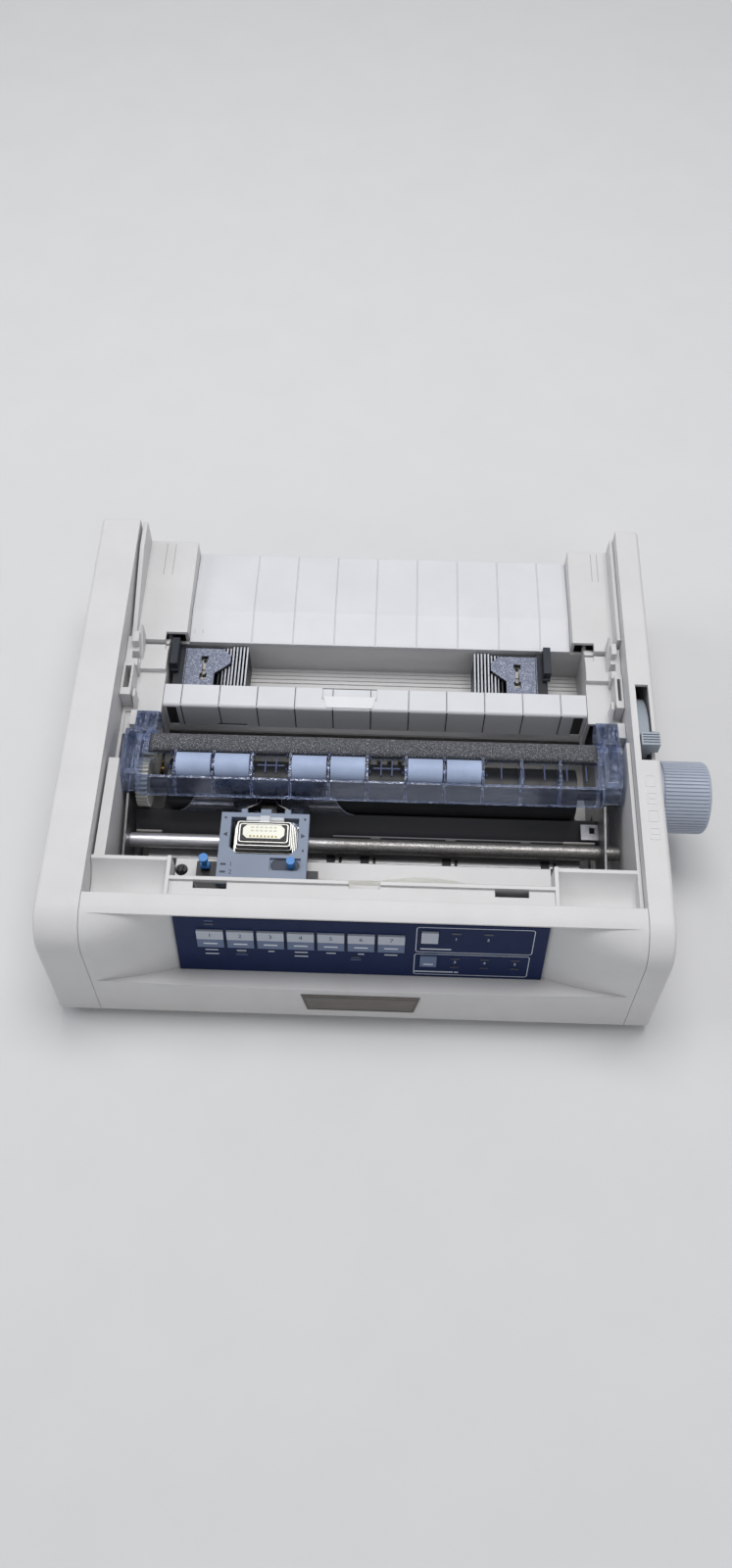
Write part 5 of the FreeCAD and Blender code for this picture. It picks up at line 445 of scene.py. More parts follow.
def paint_nodes():
    """Give every CAD node its material."""
    looks = {
        case_material():
            ["left_side_cover", "right_side_cover", "upper_case", "front_fascia", "tractor_well"],
        plastic("tray_moulding", (194, 192, 188), roughness=0.6, grain=0.8, depth=0.05, edge=0.4):
            ["lower_case"],
        plastic("guide_moulding", (211, 212, 215), roughness=0.42, grain=0.4, depth=0.025):
            ["rear_paper_guide", "middle_paper_guide"],
        panel_material(): ["operator_panel"],
        plate_material(): ["name_plate"],
        plastic("knob_moulding", (170, 177, 191), roughness=0.42, edge=0.2): ["platen_knob"],
        plastic("lever_moulding", (156, 164, 174), roughness=0.42, edge=0.35): ["paper_lever"],
        rubber_material("foot_rubber", (46, 46, 48)): ["rubber_feet"],
        rubber_material("platen_rubber", (30, 31, 34), roughness=0.42, lathe=1.0): ["platen_roller"],
        plastic("gear_moulding", (206, 205, 198), roughness=0.5, edge=0.15):
            ["platen_gear", "idler_gear_front", "idler_gear_rear"],
        steel_material("pinion_brass", (196, 160, 92)): ["motor_pinion", "space_motor_pinion"],
        steel_material("zinc_sheet", (132, 132, 134), roughness=0.42, along=(1.0, 0.05, 1.0), dirt=0.4):
            ["left_side_frame", "right_side_frame"],
        plastic("lower_guide_moulding", (52, 52, 56), roughness=0.36, edge=0.3): ["platen_guide"],
        shaft_material(): ["carriage_shaft"],
        steel_material("bright_bar", (190, 190, 194), roughness=0.2):
            ["tractor_guide_rod", "tractor_drive_shaft"],
        plastic("rack_moulding", (58, 58, 60), roughness=0.5, edge=0.1): ["carriage_rack"],
        plastic("motor_paint", (62, 62, 66), roughness=0.4, grain=0.8, mottle=0.08):
            ["line_feed_motor", "space_motor"],
        tractor_material(): ["left_tractor_lid", "right_tractor_lid"],
        plastic("lock_moulding", (40, 44, 54), roughness=0.34, edge=0.3):
            ["left_tractor_lock", "right_tractor_lock"],
        fin_material("left"): ["left_tractor_body"],
        fin_material("right"): ["right_tractor_body"],
        plastic("sprocket_moulding", (196, 192, 180), edge=0.15):
            ["left_tractor_sprocket", "right_tractor_sprocket"],
        clear_material(): ["roller_unit_frame"],
        film_material(): ["film_guards"],
        rubber_material("roller_rubber", (158, 172, 200), roughness=0.55, lathe=1.0):
            [f"pinch_rollers_{number}" for number in (1, 2, 3)],
        plastic("carriage_moulding", (34, 35, 39), roughness=0.42, edge=0.3): ["carriage"],
        head_material(): ["print_head"],
        plastic("cartridge_moulding", (126, 137, 157), roughness=0.44, grain=0.4, mottle=0.05, edge=0.35,
                smudge=0.08):
            ["ribbon_cartridge"],
        plastic("ribbon_knob_moulding", (62, 128, 196), roughness=0.36, edge=0.2):
            ["ribbon_knob", "head_gap_lever"],
        plastic("cable_film", (232, 231, 226), roughness=0.5, edge=0.0): ["head_cable"],
        plastic("inlet_moulding", (28, 28, 30), roughness=0.4, edge=0.3): ["power_inlet", "power_rocker"],
        board_material(): ["main_board"],
    }
    for material, names in looks.items():
        for name in names:
            dress(NODES[name], material)
    past_cap = 1.0
    low, high = key_up_span("panel_key_1")
    large = key_material("key_caps", (low + high) / 2)
    for number in LARGE_KEYS:
        dress(NODES[f"panel_key_{number}"], large)
    below_quality_key = key_up_span("quality_key")[0] - past_cap
    dress(NODES["quality_key"], key_material("upper_small_key", below_quality_key))
    above_pitch_key = key_up_span("pitch_key")[1] + past_cap
    dress(NODES["pitch_key"], key_material("lower_small_key", above_pitch_key))


def dress(thing, material):
    """Put one material on every slot of an object."""
    if not thing.data.materials:
        thing.data.materials.append(material)
    for number in range(len(thing.data.materials)):
        thing.data.materials[number] = material
    for slot in thing.material_slots:
        slot.material = material


def key_up_span(name):
    """How far a key's cap reaches up the panel's slope, in millimetres from the frame's origin."""
    points = cad_points(name)
    front = max(point.dot(PANEL_OUT) for point in points)
    face = [point.dot(PANEL_UP) for point in points if point.dot(PANEL_OUT) > front - 0.1]
    return min(face), max(face)


# Mesh helpers


X_AXIS = Vector((1, 0, 0))
Y_AXIS = Vector((0, 1, 0))
Z_AXIS = Vector((0, 0, 1))


def new_object(name, mesh_data, material, body):
    """An object with one material, which rides on a body where one is named."""
    thing = bpy.data.objects.new(name, mesh_data)
    bpy.context.collection.objects.link(thing)
    thing.data.materials.clear()
    thing.data.materials.append(material)
    if body:
        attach(thing, body)
    return thing


def from_bmesh(name, shape, material, body, smooth=False):
    """An object made from a shape that was drawn in millimetres."""
    for vertex in shape.verts:
        vertex.co = vertex.co * MM
    bmesh.ops.recalc_face_normals(shape, faces=shape.faces)
    data = bpy.data.meshes.new(name)
    shape.to_mesh(data)
    shape.free()
    if smooth:
        data.polygons.foreach_set("use_smooth", [True] * len(data.polygons))
    return new_object(name, data, material, body)


def ease(thing, width):
    modifier = thing.modifiers.new("eased_edges", "BEVEL")
    modifier.width = width * MM
    modifier.segments = 2
    modifier.limit_method = "ANGLE"
    modifier.angle_limit = math.radians(40)


def add_prism(shape, outline, lift, depth):
    """A flat outline, a list of points, drawn out by depth along the unit vector lift."""
    top = [shape.verts.new(point + lift * depth) for point in outline]
    low = [shape.verts.new(point) for point in outline]
    shape.faces.new(top)
    shape.faces.new(list(reversed(low)))
    count = len(outline)
    for number in range(count):
        following = (number + 1) % count
        shape.faces.new((low[number], low[following], top[following], top[number]))


def rounded_outline(centre, right, up, width, height, radius, steps=5):
    """A rounded rectangle as a list of points on a plane."""
    points = []
    for turn, (side, rise) in enumerate(((1, 1), (-1, 1), (-1, -1), (1, -1))):
        corner = centre + right * side * (width / 2 - radius) + up * rise * (height / 2 - radius)
        for step in range(steps + 1):
            angle = math.radians(90 * turn + 90 * step / steps)
            points.append(corner + right * radius * math.cos(angle) + up * radius * math.sin(angle))
    return points


def rounded_slab(shape, centre, right, up, lift, width, height, radius, depth, steps=5):
    add_prism(shape, rounded_outline(centre, right, up, width, height, radius, steps), lift, depth)


def flat_slab(shape, centre, width, height, radius, depth, steps=5):
    """A rounded slab that lies flat, its lower face on the centre point."""
    rounded_slab(shape, centre, X_AXIS, Y_AXIS, Z_AXIS, width, height, radius, depth, steps)


def add_ring(shape, outer, inner, lift, depth):
    """The band between two outlines with the same number of points."""
    rings = []
    for outline in (outer, inner):
        rings.append(([shape.verts.new(point) for point in outline],
                      [shape.verts.new(point + lift * depth) for point in outline]))
    (outer_low, outer_top), (inner_low, inner_top) = rings
    count = len(outer)
    for number in range(count):
        following = (number + 1) % count
        shape.faces.new((outer_low[number], outer_low[following], outer_top[following], outer_top[number]))
        shape.faces.new((inner_low[following], inner_low[number], inner_top[number], inner_top[following]))
        shape.faces.new((outer_top[number], outer_top[following], inner_top[following], inner_top[number]))
        shape.faces.new((outer_low[following], outer_low[number], inner_low[number], inner_low[following]))


def add_strip(shape, top, low, thickness):
    """A thin standing band between two rows of points."""
    push = Vector((0, thickness, 0))
    rows = [[shape.verts.new(point) for point in row] for row in
            (top, low, [point + push for point in low], [point + push for point in top])]
    for number in range(len(top) - 1):
        for first, second in zip(rows, rows[1:] + rows[:1]):
            shape.faces.new((first[number], first[number + 1], second[number + 1], second[number]))
    shape.faces.new([row[0] for row in rows])
    shape.faces.new([row[-1] for row in reversed(rows)])


def add_frame(shape, centre, right, up, lift, outer, inner, depth, steps=5):
    """A flat frame between two rounded rectangles, each given as width, height and corner radius."""
    add_ring(shape, rounded_outline(centre, right, up, *outer, steps),
             rounded_outline(centre, right, up, *inner, steps), lift, depth)


def skin(shape, rings):
    """Faces from ring to ring, with both end rings closed."""
    count = len(rings[0])
    for first, second in zip(rings, rings[1:]):
        for step in range(count):
            following = (step + 1) % count
            shape.faces.new((first[step], first[following], second[following], second[step]))
    shape.faces.new(list(reversed(rings[0])))
    shape.faces.new(rings[-1])


def add_tube(shape, route, radius, sides=10):
    """A round tube along a list of points, closed at both ends."""
    rings = []
    for number, point in enumerate(route):
        before = route[max(number - 1, 0)]
        after = route[min(number + 1, len(route) - 1)]
        along = (after - before).normalized()
        helper = Z_AXIS if abs(along.z) < 0.9 else Y_AXIS
        side = along.cross(helper).normalized()
        rise = side.cross(along)
        ring = []
        for step in range(sides):
            angle = 2 * math.pi * step / sides
            place = point + side * radius * math.cos(angle) + rise * radius * math.sin(angle)
            ring.append(shape.verts.new(place))
        rings.append(ring)
    skin(shape, rings)


def add_box(shape, low, high, chamfer=0.0):
    """A box between two corners, its edges eased by a small chamfer."""
    low, high = Vector(low), Vector(high)
    matrix = Matrix.Translation((low + high) / 2) @ Matrix.Diagonal(list(high - low) + [1])
    made = bmesh.ops.create_cube(shape, size=1.0, matrix=matrix)
    if chamfer:
        edges = list({edge for vertex in made["verts"] for edge in vertex.link_edges})
        bmesh.ops.bevel(shape, geom=edges, offset=chamfer, segments=2, affect="EDGES")


def lettered(name, text, centre, right, up, height, material, body, lift=0.04):
    """Plain numbers as a flat mesh on a plane."""
    size_for_height = 1.35
    data = bpy.data.curves.new(name + "_text", "FONT")
    data.body = text
    data.align_x = "CENTER"
    data.align_y = "CENTER"
    data.size = height * size_for_height
    data.resolution_u = 2
    text_object = bpy.data.objects.new(name + "_text", data)
    bpy.context.collection.objects.link(text_object)
    bpy.context.view_layer.update()
    flat = bpy.data.meshes.new_from_object(text_object)
    bpy.data.objects.remove(text_object)
    out = right.cross(up)
    turn = Matrix((right, up, out)).transposed().to_4x4()
    flat.transform(Matrix.Diagonal((MM, MM, MM, 1)) @ Matrix.Translation(centre + out * lift) @ turn)
    return new_object(name, flat, material, body)


# Front panel, with places counted from the foot of its backing


LARGE_KEYS = range(1, 8)
PANEL_BASE = Vector((0, -152.0, 37.4))
PANEL_FACE = 2.0
PRINT_LIFT = 0.03
PRINT_DEPTH = 0.05


def on_panel(x, up, out=PANEL_FACE + PRINT_LIFT):
    """A point of the panel: x across, up its slope, out from its backing."""
    return PANEL_BASE + X_AXIS * x + PANEL_UP * up + PANEL_OUT * out


def sloped_slab(shape, centre, width, height, radius, depth, steps=5):
    """A rounded slab that lies on the panel's slope."""
    rounded_slab(shape, centre, X_AXIS, PANEL_UP, PANEL_OUT, width, height, radius, depth, steps)


def outline_frame(shape, left, right, low, high, line=0.45, radius=2.0):
    centre = on_panel((left + right) / 2, (low + high) / 2)
    width, height = right - left, high - low
    add_frame(shape, centre, X_AXIS, PANEL_UP, PANEL_OUT, (width, height, radius),
              (width - 2 * line, height - 2 * line, radius - line), PRINT_DEPTH)


def dash(shape, x, up, width, height=0.9):
    sloped_slab(shape, on_panel(x, up), width, height, height * 0.4, PRINT_DEPTH, steps=3)


def panel_print(white):
    """Outlines round the two groups of keys, and bars in place of their headings."""
    group_outlines = ((39.5, 114.5, 27.6, 53.6), (39.0, 113.6, 3.2, 25.8))
    heading_bars = ((52.5, 31.0, 20.0), (52.0, 6.4, 26.0), (67.0, 6.4, 3.0))
    bar_drop, bar_width, bar_step = 4.4, 8.5, 2.2
    second_drop, second_width, second_bar_keys = 8.6, 9.0, (1, 4)
    key_low = key_up_span("panel_key_1")[0] - PANEL_BASE.dot(PANEL_UP)
    shape = bmesh.new()
    for left, right, low, high in group_outlines:
        outline_frame(shape, left, right, low, high)
    for number in LARGE_KEYS:
        x = centre_x(f"panel_key_{number}")
        dash(shape, x, key_low - bar_drop, bar_width - bar_step * ((number - 1) % 3))
        if number in second_bar_keys:
            dash(shape, x, key_low - second_drop, second_width)
    for x, up, width in heading_bars:
        dash(shape, x, up, width, 1.1)
    from_bmesh("panel_print_lines", shape, white, "chassis")


def panel_lamps(lens):
    """Dark lamp windows: five single ones and six in rows beside the small keys."""
    single = [(-92.2, 50.2), (-72.9, 21.5), (1.2, 19.5), (65.0, 47.8), (85.5, 47.8)]
    rows = [(x, up) for x in (65.6, 84.8, 104.6) for up in (21.2, 12.0)]
    width, height, radius, depth, sink = 6.0, 1.7, 0.6, 0.35, 0.1
    shape = bmesh.new()
    for x, up in single + rows:
        sloped_slab(shape, on_panel(x, up, PANEL_FACE - sink), width, height, radius, depth)
    from_bmesh("panel_lamps", shape, lens, "chassis")


def panel_faint_print(faint):
    """Faint bars beside the single lamps."""
    shape = bmesh.new()
    for x, up, width in ((-92.2, 53.2, 5.5), (-72.9, 18.8, 8.0), (1.2, 16.8, 7.0)):
        dash(shape, x, up, width, 0.8)
    from_bmesh("panel_faint_lines", shape, faint, "chassis")


def panel_numbers(white):
    """Plain numbers by the small keys' lamps."""
    places = ((65.0, 42.0), (85.5, 42.0), (65.6, 17.4), (84.8, 17.2), (104.6, 17.0))
    for number, (x, up) in enumerate(places, 1):
        lettered(f"panel_number_{number}", str(number), on_panel(x, up), X_AXIS, PANEL_UP, 2.6, white,
                 "chassis", PRINT_DEPTH)


def key_legend(number, navy, white):
    """A plain number on the upper half of a large key and a bar on its lower half."""
    body = f"panel_key_{number}"
    low, high = (up - PANEL_BASE.dot(PANEL_UP) for up in key_up_span("panel_key_1"))
    face = max((point - PANEL_BASE).dot(PANEL_OUT) for point in cad_points(body))
    x = centre_x(body)
    middle, quarter = (low + high) / 2, (high - low) / 4
    lettered(f"key_number_{number}", str(number), on_panel(x, middle + quarter, face), X_AXIS, PANEL_UP, 3.9,
             navy, body)
    mark = bmesh.new()
    sloped_slab(mark, on_panel(x, middle - quarter, face + PRINT_LIFT), 9.0, 1.3, 0.5, PRINT_DEPTH, steps=3)
    from_bmesh(f"key_mark_{number}", mark, white, body)


def pitch_key_mark(white):
    """A bar on the lower small key."""
    mark = bmesh.new()
    key_rise = 1.4
    centre = on_panel(centre_x("pitch_key"), 16.2, PANEL_FACE + key_rise + PRINT_LIFT)
    sloped_slab(mark, centre, 6.5, 1.1, 0.4, PRINT_DEPTH, steps=3)
    from_bmesh("pitch_key_mark", mark, white, "pitch_key")


def panel_details():
    """White print, lamps and numbers on the panel, all generic."""
    white = plastic("white_print", (214, 219, 228), roughness=0.45, edge=0.0)
    faint = plastic("faint_print", (92, 108, 146), roughness=0.45, edge=0.0)
    navy = plastic("navy_print", (38, 50, 92), roughness=0.45, edge=0.0)
    lens = plastic("lamp_lens", (20, 30, 58), roughness=0.2, edge=0.2, coat=0.6)
    panel_print(white)
    panel_lamps(lens)
    panel_faint_print(faint)
    panel_numbers(white)
    for number in LARGE_KEYS:
        key_legend(number, navy, white)
    pitch_key_mark(white)


def badge_details():
    """A fine dark line round the bare badge."""
    dark = plastic("badge_line", (60, 58, 56), roughness=0.4, edge=0.0)
    setback, rise = 11.7, 99.5
    side_slant = 3.5
    line_start, line_end, line_depth = 1.3, 1.8, 0.08
    lean = math.atan2(setback, rise)
    up = Vector((0, math.sin(lean), math.cos(lean)))
    out = Vector((0, -math.cos(lean), math.sin(lean)))
    low, high = span("name_plate")
    points = cad_points("name_plate")
    face = max(point.dot(out) for point in points)
    low_up = min(point.dot(up) for point in points)
    high_up = max(point.dot(up) for point in points)

    def corners(inset):
        half_top = (high.x - low.x) / 2 - inset
        half_low = half_top - side_slant
        places = ((-half_low, low_up + inset), (half_low, low_up + inset), (half_top, high_up - inset),
                  (-half_top, high_up - inset))
        middle = centre_x("name_plate")
        return [X_AXIS * (middle + x) + up * along + out * (face + PRINT_LIFT) for x, along in places]

    line = bmesh.new()
    add_ring(line, corners(line_start), corners(line_end), out, line_depth)
    from_bmesh("badge_line", line, dark, "chassis")


# Case details


def shelf_grooves():
    """Two fine grooves on the shelf at each end, as thin grey lines sunk into its top."""
    groove = plastic("groove_shadow", (172, 171, 170), roughness=0.7, edge=0.0)
    places = ((-153.5, 32.0), (-147.0, 32.0), (167.0, 28.0), (171.5, 28.0))
    width, rear_gap, shelf_top, sink, lift = 0.6, 2.0, 84.0, 0.2, 0.03
    rear = span("upper_case")[1].y
    lines = bmesh.new()
    for x, length in places:
        add_box(lines, (x, rear - length, shelf_top - sink), (x + width, rear - rear_gap, shelf_top + lift))
    from_bmesh("shelf_grooves", lines, groove, "chassis")


def raised_marks():
    """Two short bars on the guide, and four raised squares in a row by the knob."""
    raised = plastic("raised_marks", (210, 210, 211), roughness=0.46, edge=0.15)
    bar_front, bar_rear, bar_low, bar_top, bar_width = 96.0, 100.0, 71.4, 73.0, 0.8
    square_x, first_y, square_pitch, squares = 190.6, -40.0, 13.0, 4
    square_width, square_depth, line, rise, sink = 7.0, 8.5, 0.6, 0.3, 0.05
    dash_reach, dash_half = 2.0, 0.4
    marks = bmesh.new()
    for x in (-127.0, -121.0):
        add_box(marks, (x, bar_front, bar_low), (x + bar_width, bar_rear, bar_top), 0.15)
    base = span("right_side_cover")[1].z - sink
    for number in range(squares):
        y = first_y - square_pitch * number
        outer = (square_width, square_depth, 1.0)
        inner = (square_width - 2 * line, square_depth - 2 * line, 0.5)
        add_frame(marks, Vector((square_x, y, base)), X_AXIS, Y_AXIS, Z_AXIS, outer, inner, rise)
        if number % 2:
            add_box(marks, (square_x - dash_reach, y - dash_half, base),
                    (square_x + dash_reach, y + dash_half, base + rise))
    from_bmesh("raised_marks", marks, raised, "chassis")


def case_screws():
    """Four pan-head screws with cross recesses that hold the upper case from below."""
    zinc = steel_material("screw_zinc", (172, 172, 176))
    dark = plastic("recess_shadow", (34, 34, 36), roughness=0.6, edge=0.0)
    head_radius, shank_radius = 3.1, 1.4
    slot_reach, slot_half, slot_low, slot_top = 1.7, 0.35, 2.14, 2.3
    screws = bmesh.new()
    recesses = bmesh.new()
    for x in (-148.0, 156.5):
        for y in (161.0, -117.07):
            add_tube(screws, [Vector((x, y, z)) for z in (2.2, 2.5, 4.0)], head_radius, 20)
            add_tube(screws, [Vector((x, y, z)) for z in (4.0, 14.0)], shank_radius, 14)
            for across, along in ((slot_reach, slot_half), (slot_half, slot_reach)):
                add_box(recesses, (x - across, y - along, slot_low), (x + across, y + along, slot_top))
    from_bmesh("case_screws", screws, zinc, "chassis")
    from_bmesh("screw_recesses", recesses, dark, "chassis")


def labels_left_bare():
    """The rating labels under the case and on its rear wall, without any print."""
    rear = span("lower_case")[1].y
    line, border_inset = 0.5, 4.0
    under_width, under_depth, rear_width, rear_height = 84.0, 42.0, 62.0, 18.0
    label = bmesh.new()
    flat_slab(label, Vector((0.0, 60.0, 3.85)), under_width, under_depth, 2.0, 0.2)
    rounded_slab(label, Vector((-20.0, rear - 0.05, 28.0)), X_AXIS, Z_AXIS, Y_AXIS, rear_width, rear_height,
                 1.5, 0.15)
    foil = plastic("label_foil", (216, 217, 218), roughness=0.35, edge=0.0)
    from_bmesh("bare_labels", label, foil, "chassis")
    border_grey = plastic("label_border", (150, 152, 156), roughness=0.5, edge=0.0)
    borders = ((Vector((0.0, 60.0, 3.84)), Y_AXIS, -Z_AXIS, under_width, under_depth),
               (Vector((-20.0, rear + 0.11, 28.0)), Z_AXIS, Y_AXIS, rear_width, rear_height))
    border = bmesh.new()
    for centre, up, out, label_width, label_height in borders:
        width, height = label_width - border_inset, label_height - border_inset
        add_frame(border, centre, X_AXIS, up, out, (width, height, 1.2),
                  (width - 2 * line, height - 2 * line, 0.8), PRINT_DEPTH)
    from_bmesh("label_borders", border, border_grey, "chassis")


# Paper path and mechanism


def foam_pad():
    """The foam strip, crowned and slightly uneven, in place of its plain solid."""
    low, high = span("foam_strip")
    columns, rows = 150, 10
    fullness = 0.55
    end_height, end_columns = 0.35, 3
    lump_height, lump_pitch = 0.2, 20.0
    middle_y, half = (low.y + high.y) / 2, (high.y - low.y) / 2
    shape = bmesh.new()
    rings = []
    for column in range(columns + 1):
        x = low.x + (high.x - low.x) * column / columns
        end_fade = min(1.0, end_height + min(column, columns - column) / end_columns)
        ring = []
        for row in range(rows + 1):
            angle = math.pi * row / rows
            across = math.copysign(abs(math.cos(angle)) ** fullness, math.cos(angle))
            crown = math.sin(angle) ** fullness
            lump = lump_height * mathutils_noise.noise(Vector((x / lump_pitch, across, 0.0)))
            z = low.z + (high.z - low.z) * crown * end_fade + min(lump, 0.0) * crown
            ring.append(shape.verts.new((x, middle_y + across * half, z)))
        rings.append(ring)
    skin(shape, rings)
    pad = from_bmesh("foam_pad", shape, foam_material(), "roller_unit", smooth=True)
    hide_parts("foam_strip")


def ribbon():
    """The inked ribbon between the cartridge's tabs, round the tip of the print head."""
    ink = rubber_material("inked_ribbon", (30, 29, 34), roughness=0.7)
    start_y = span("ribbon_cartridge")[1].y + 0.5
    tip_y = span("print_head")[1].y + 0.5
    width, thickness, rise = 7.5, 0.12, 0.6
    wire_radius, wire_spread, wire_rise = 0.35, 1.03, 1.0
    half = ((4.5, tip_y, 72.0), (7.0, tip_y - 5.5, 76.0), (14.0, start_y, 80.0), (15.5, start_y - 2.0, 80.0))
    route = [(-x, y, z) for x, y, z in reversed(half)] + list(half)
    middle = centre_x("ribbon_cartridge")
    shape = bmesh.new()
    top = [Vector((middle + x, y, z + rise)) for x, y, z in route]
    low = [point - Vector((0, 0, width)) for point in top]
    add_strip(shape, top, low, thickness)
    from_bmesh("ink_ribbon", shape, ink, "carriage")
    wire = steel_material("ribbon_wire", (170, 168, 160), roughness=0.3)
    guide = bmesh.new()
    for bends in (route[1:4], route[4:7]):
        places = [Vector((middle + x * wire_spread, y, z + wire_rise)) for x, y, z in bends]
        add_tube(guide, places, wire_radius, 8)
    from_bmesh("ribbon_guide_wires", guide, wire, "carriage", smooth=True)


def head_cap():
    """The pale label plate on the head, the rims of its fins, its ribbon-side bridge and its bolts."""
    pale = plastic("head_label", (240, 238, 224), roughness=0.4, edge=0.15)
    ochre = plastic("head_label_marks", (176, 160, 74), roughness=0.6, edge=0.0)
    faded = plastic("head_label_print", (206, 203, 192), roughness=0.6, edge=0.0)
    label_y, width, depth, radius, thickness, sink = -75.6, 27.4, 10.0, 2.6, 0.5, 0.05
    print_rise, edge_width = 0.46, 0.15
    middle, top = centre_x("print_head"), span("print_head")[1].z
    plate = bmesh.new()
    flat_slab(plate, Vector((middle, label_y, top - sink)), width, depth, radius, thickness, 1)
    ease(from_bmesh("head_label", plate, pale, "carriage"), edge_width)
    head_label_print(middle, top + print_rise, ochre, faded)
    head_rims(top)
    head_bridge(middle)
    head_bolts(middle)


def head_label_print(middle, face, ochre, faded):
    """A row of small marks and two rows of faded bars on the head's label."""
    mark_count, first_mark, mark_pitch, mark_y, mark_width = 8, -8.6, 2.4, -79.2, 1.2
    short_mark, long_mark = 1.3, 1.6
    bar_rows, bar_columns, first_bar, bar_pitch = 2, 6, -7.5, 3.0
    rear_row, row_pitch, bar_width, bar_depth = -72.6, 2.5, 2.0, 1.1
    radius = 0.3
    marks = bmesh.new()
    for number in range(mark_count):
        depth = short_mark if number % 3 else long_mark
        place = Vector((middle + first_mark + mark_pitch * number, mark_y, face))
        flat_slab(marks, place, mark_width, depth, radius, PRINT_DEPTH, 2)
    from_bmesh("head_label_marks", marks, ochre, "carriage")
    bars = bmesh.new()
    for row in range(bar_rows):
        for number in range(bar_columns):
            place = Vector((middle + first_bar + bar_pitch * number, rear_row - row_pitch * row, face))
            flat_slab(bars, place, bar_width, bar_depth, radius, PRINT_DEPTH, 2)
    from_bmesh("head_label_print", bars, faded, "carriage")


def head_rims(top):
    """Bright rims round the upper fins, rubbed bare, one at each height where the CAD head has corners."""
    lowest_rim, drop, thickness = 71.0, 0.28, 0.34
    levels = {}
    for vertex in NODES["print_head"].data.vertices:
        levels.setdefault(round(vertex.co.z / MM, 1), []).append(Vector(vertex.co) / MM)
    rims = bmesh.new()
    for level, points in levels.items():
        if level < lowest_rim or level > top + 0.1:
            continue
        left, right = min(point.x for point in points), max(point.x for point in points)
        front, rear = min(point.y for point in points), max(point.y for point in points)
        centre = Vector(((left + right) / 2, (front + rear) / 2, level - drop))
        outer = (right - left + 0.3, rear - front + 0.3, 1.6)
        inner = (right - left - 1.0, rear - front - 0.7, 1.1)
        add_frame(rims, centre, X_AXIS, Y_AXIS, Z_AXIS, outer, inner, thickness, 2)
    metal = steel_material("rim_metal", (226, 225, 220), roughness=0.4, dirt=0.15)
    from_bmesh("head_rims", rims, metal, "carriage")


def head_bridge(middle):
    """The grey bridge between the head and the ribbon, with a tab in its middle."""
    bridge_half, bridge_front, bridge_low, bridge_top = 12.5, -65.8, 80.0, 84.6
    tab_half, tab_front, tab_low, tab_top = 3.4, -69.5, 82.5, 86.6
    rear, chamfer = -62.6, 0.4
    bridge = bmesh.new()
    add_box(bridge, (middle - bridge_half, bridge_front, bridge_low),
            (middle + bridge_half, rear, bridge_top), chamfer)
    add_box(bridge, (middle - tab_half, tab_front, tab_low), (middle + tab_half, rear, tab_top), chamfer)
    grey = plastic("head_bridge_moulding", (196, 199, 204), edge=0.3)
    from_bmesh("head_bridge", bridge, grey, "carriage")


def head_bolts(middle):
    """Four steel bolts at the corners of the head."""
    reach, radius, rear, front, heights = 17.6, 1.9, -66.6, -87.2, (72.0, 76.6)
    bolts = bmesh.new()
    for x in (middle - reach, middle + reach):
        for y in (rear, front):
            add_tube(bolts, [Vector((x, y, z)) for z in heights], radius, 16)
    from_bmesh("head_bolts", bolts, steel_material("head_bolt_steel", (150, 150, 152)), "carriage")


def cartridge_marks():
    """Moulded arrows, dots and short bars on the cartridge, and the black recess under its knob."""
    dark = plastic("cartridge_print", (52, 60, 76), roughness=0.5, edge=0.0)
    low, high = span("ribbon_cartridge")
    top = high.z + PRINT_LIFT
    middle = (low.x + high.x) / 2
    tip_reach, base_reach, dot_reach = 27.2, 24.4, 26.4
    arrow_y, arrow_half, dot_y = -76.0, 1.8, -63.6
    bar_places = (-98.0, -103.5)
    marks = bmesh.new()
    for side in (-1, 1):
        tip = Vector((middle + side * tip_reach, arrow_y, top))
        base = middle + side * base_reach
        outline = [tip, Vector((base, arrow_y + arrow_half, top)), Vector((base, arrow_y - arrow_half, top))]
        add_prism(marks, outline if side > 0 else list(reversed(outline)), Z_AXIS, PRINT_DEPTH)
        flat_slab(marks, Vector((middle + side * dot_reach, dot_y, top)), 1.7, 1.7, 0.8, PRINT_DEPTH)
    flat_slab(marks, Vector((middle + 26.2, -86.8, top)), 1.2, 2.0, 0.5, PRINT_DEPTH)
    for y in bar_places:
        flat_slab(marks, Vector((low.x + 4.0, y, top)), 4.0, 1.5, 0.7, PRINT_DEPTH)
    from_bmesh("cartridge_marks", marks, dark, "carriage")
    for number, y in enumerate(bar_places, 1):
        place = Vector((low.x + 9.0, y, top))
        lettered(f"cartridge_number_{number}", str(number), place, X_AXIS, Y_AXIS, 3.4, dark, "carriage")
    floor = bmesh.new()
    knob_low, knob_high = span("ribbon_knob")
    centre = Vector((centre_x("ribbon_knob") - 4.0, (knob_low.y + knob_high.y) / 2, knob_low.z))
    flat_slab(floor, centre, 19.0, 8.6, 4.2, 0.04, 8)
    from_bmesh("knob_recess_floor", floor, dark, "carriage")


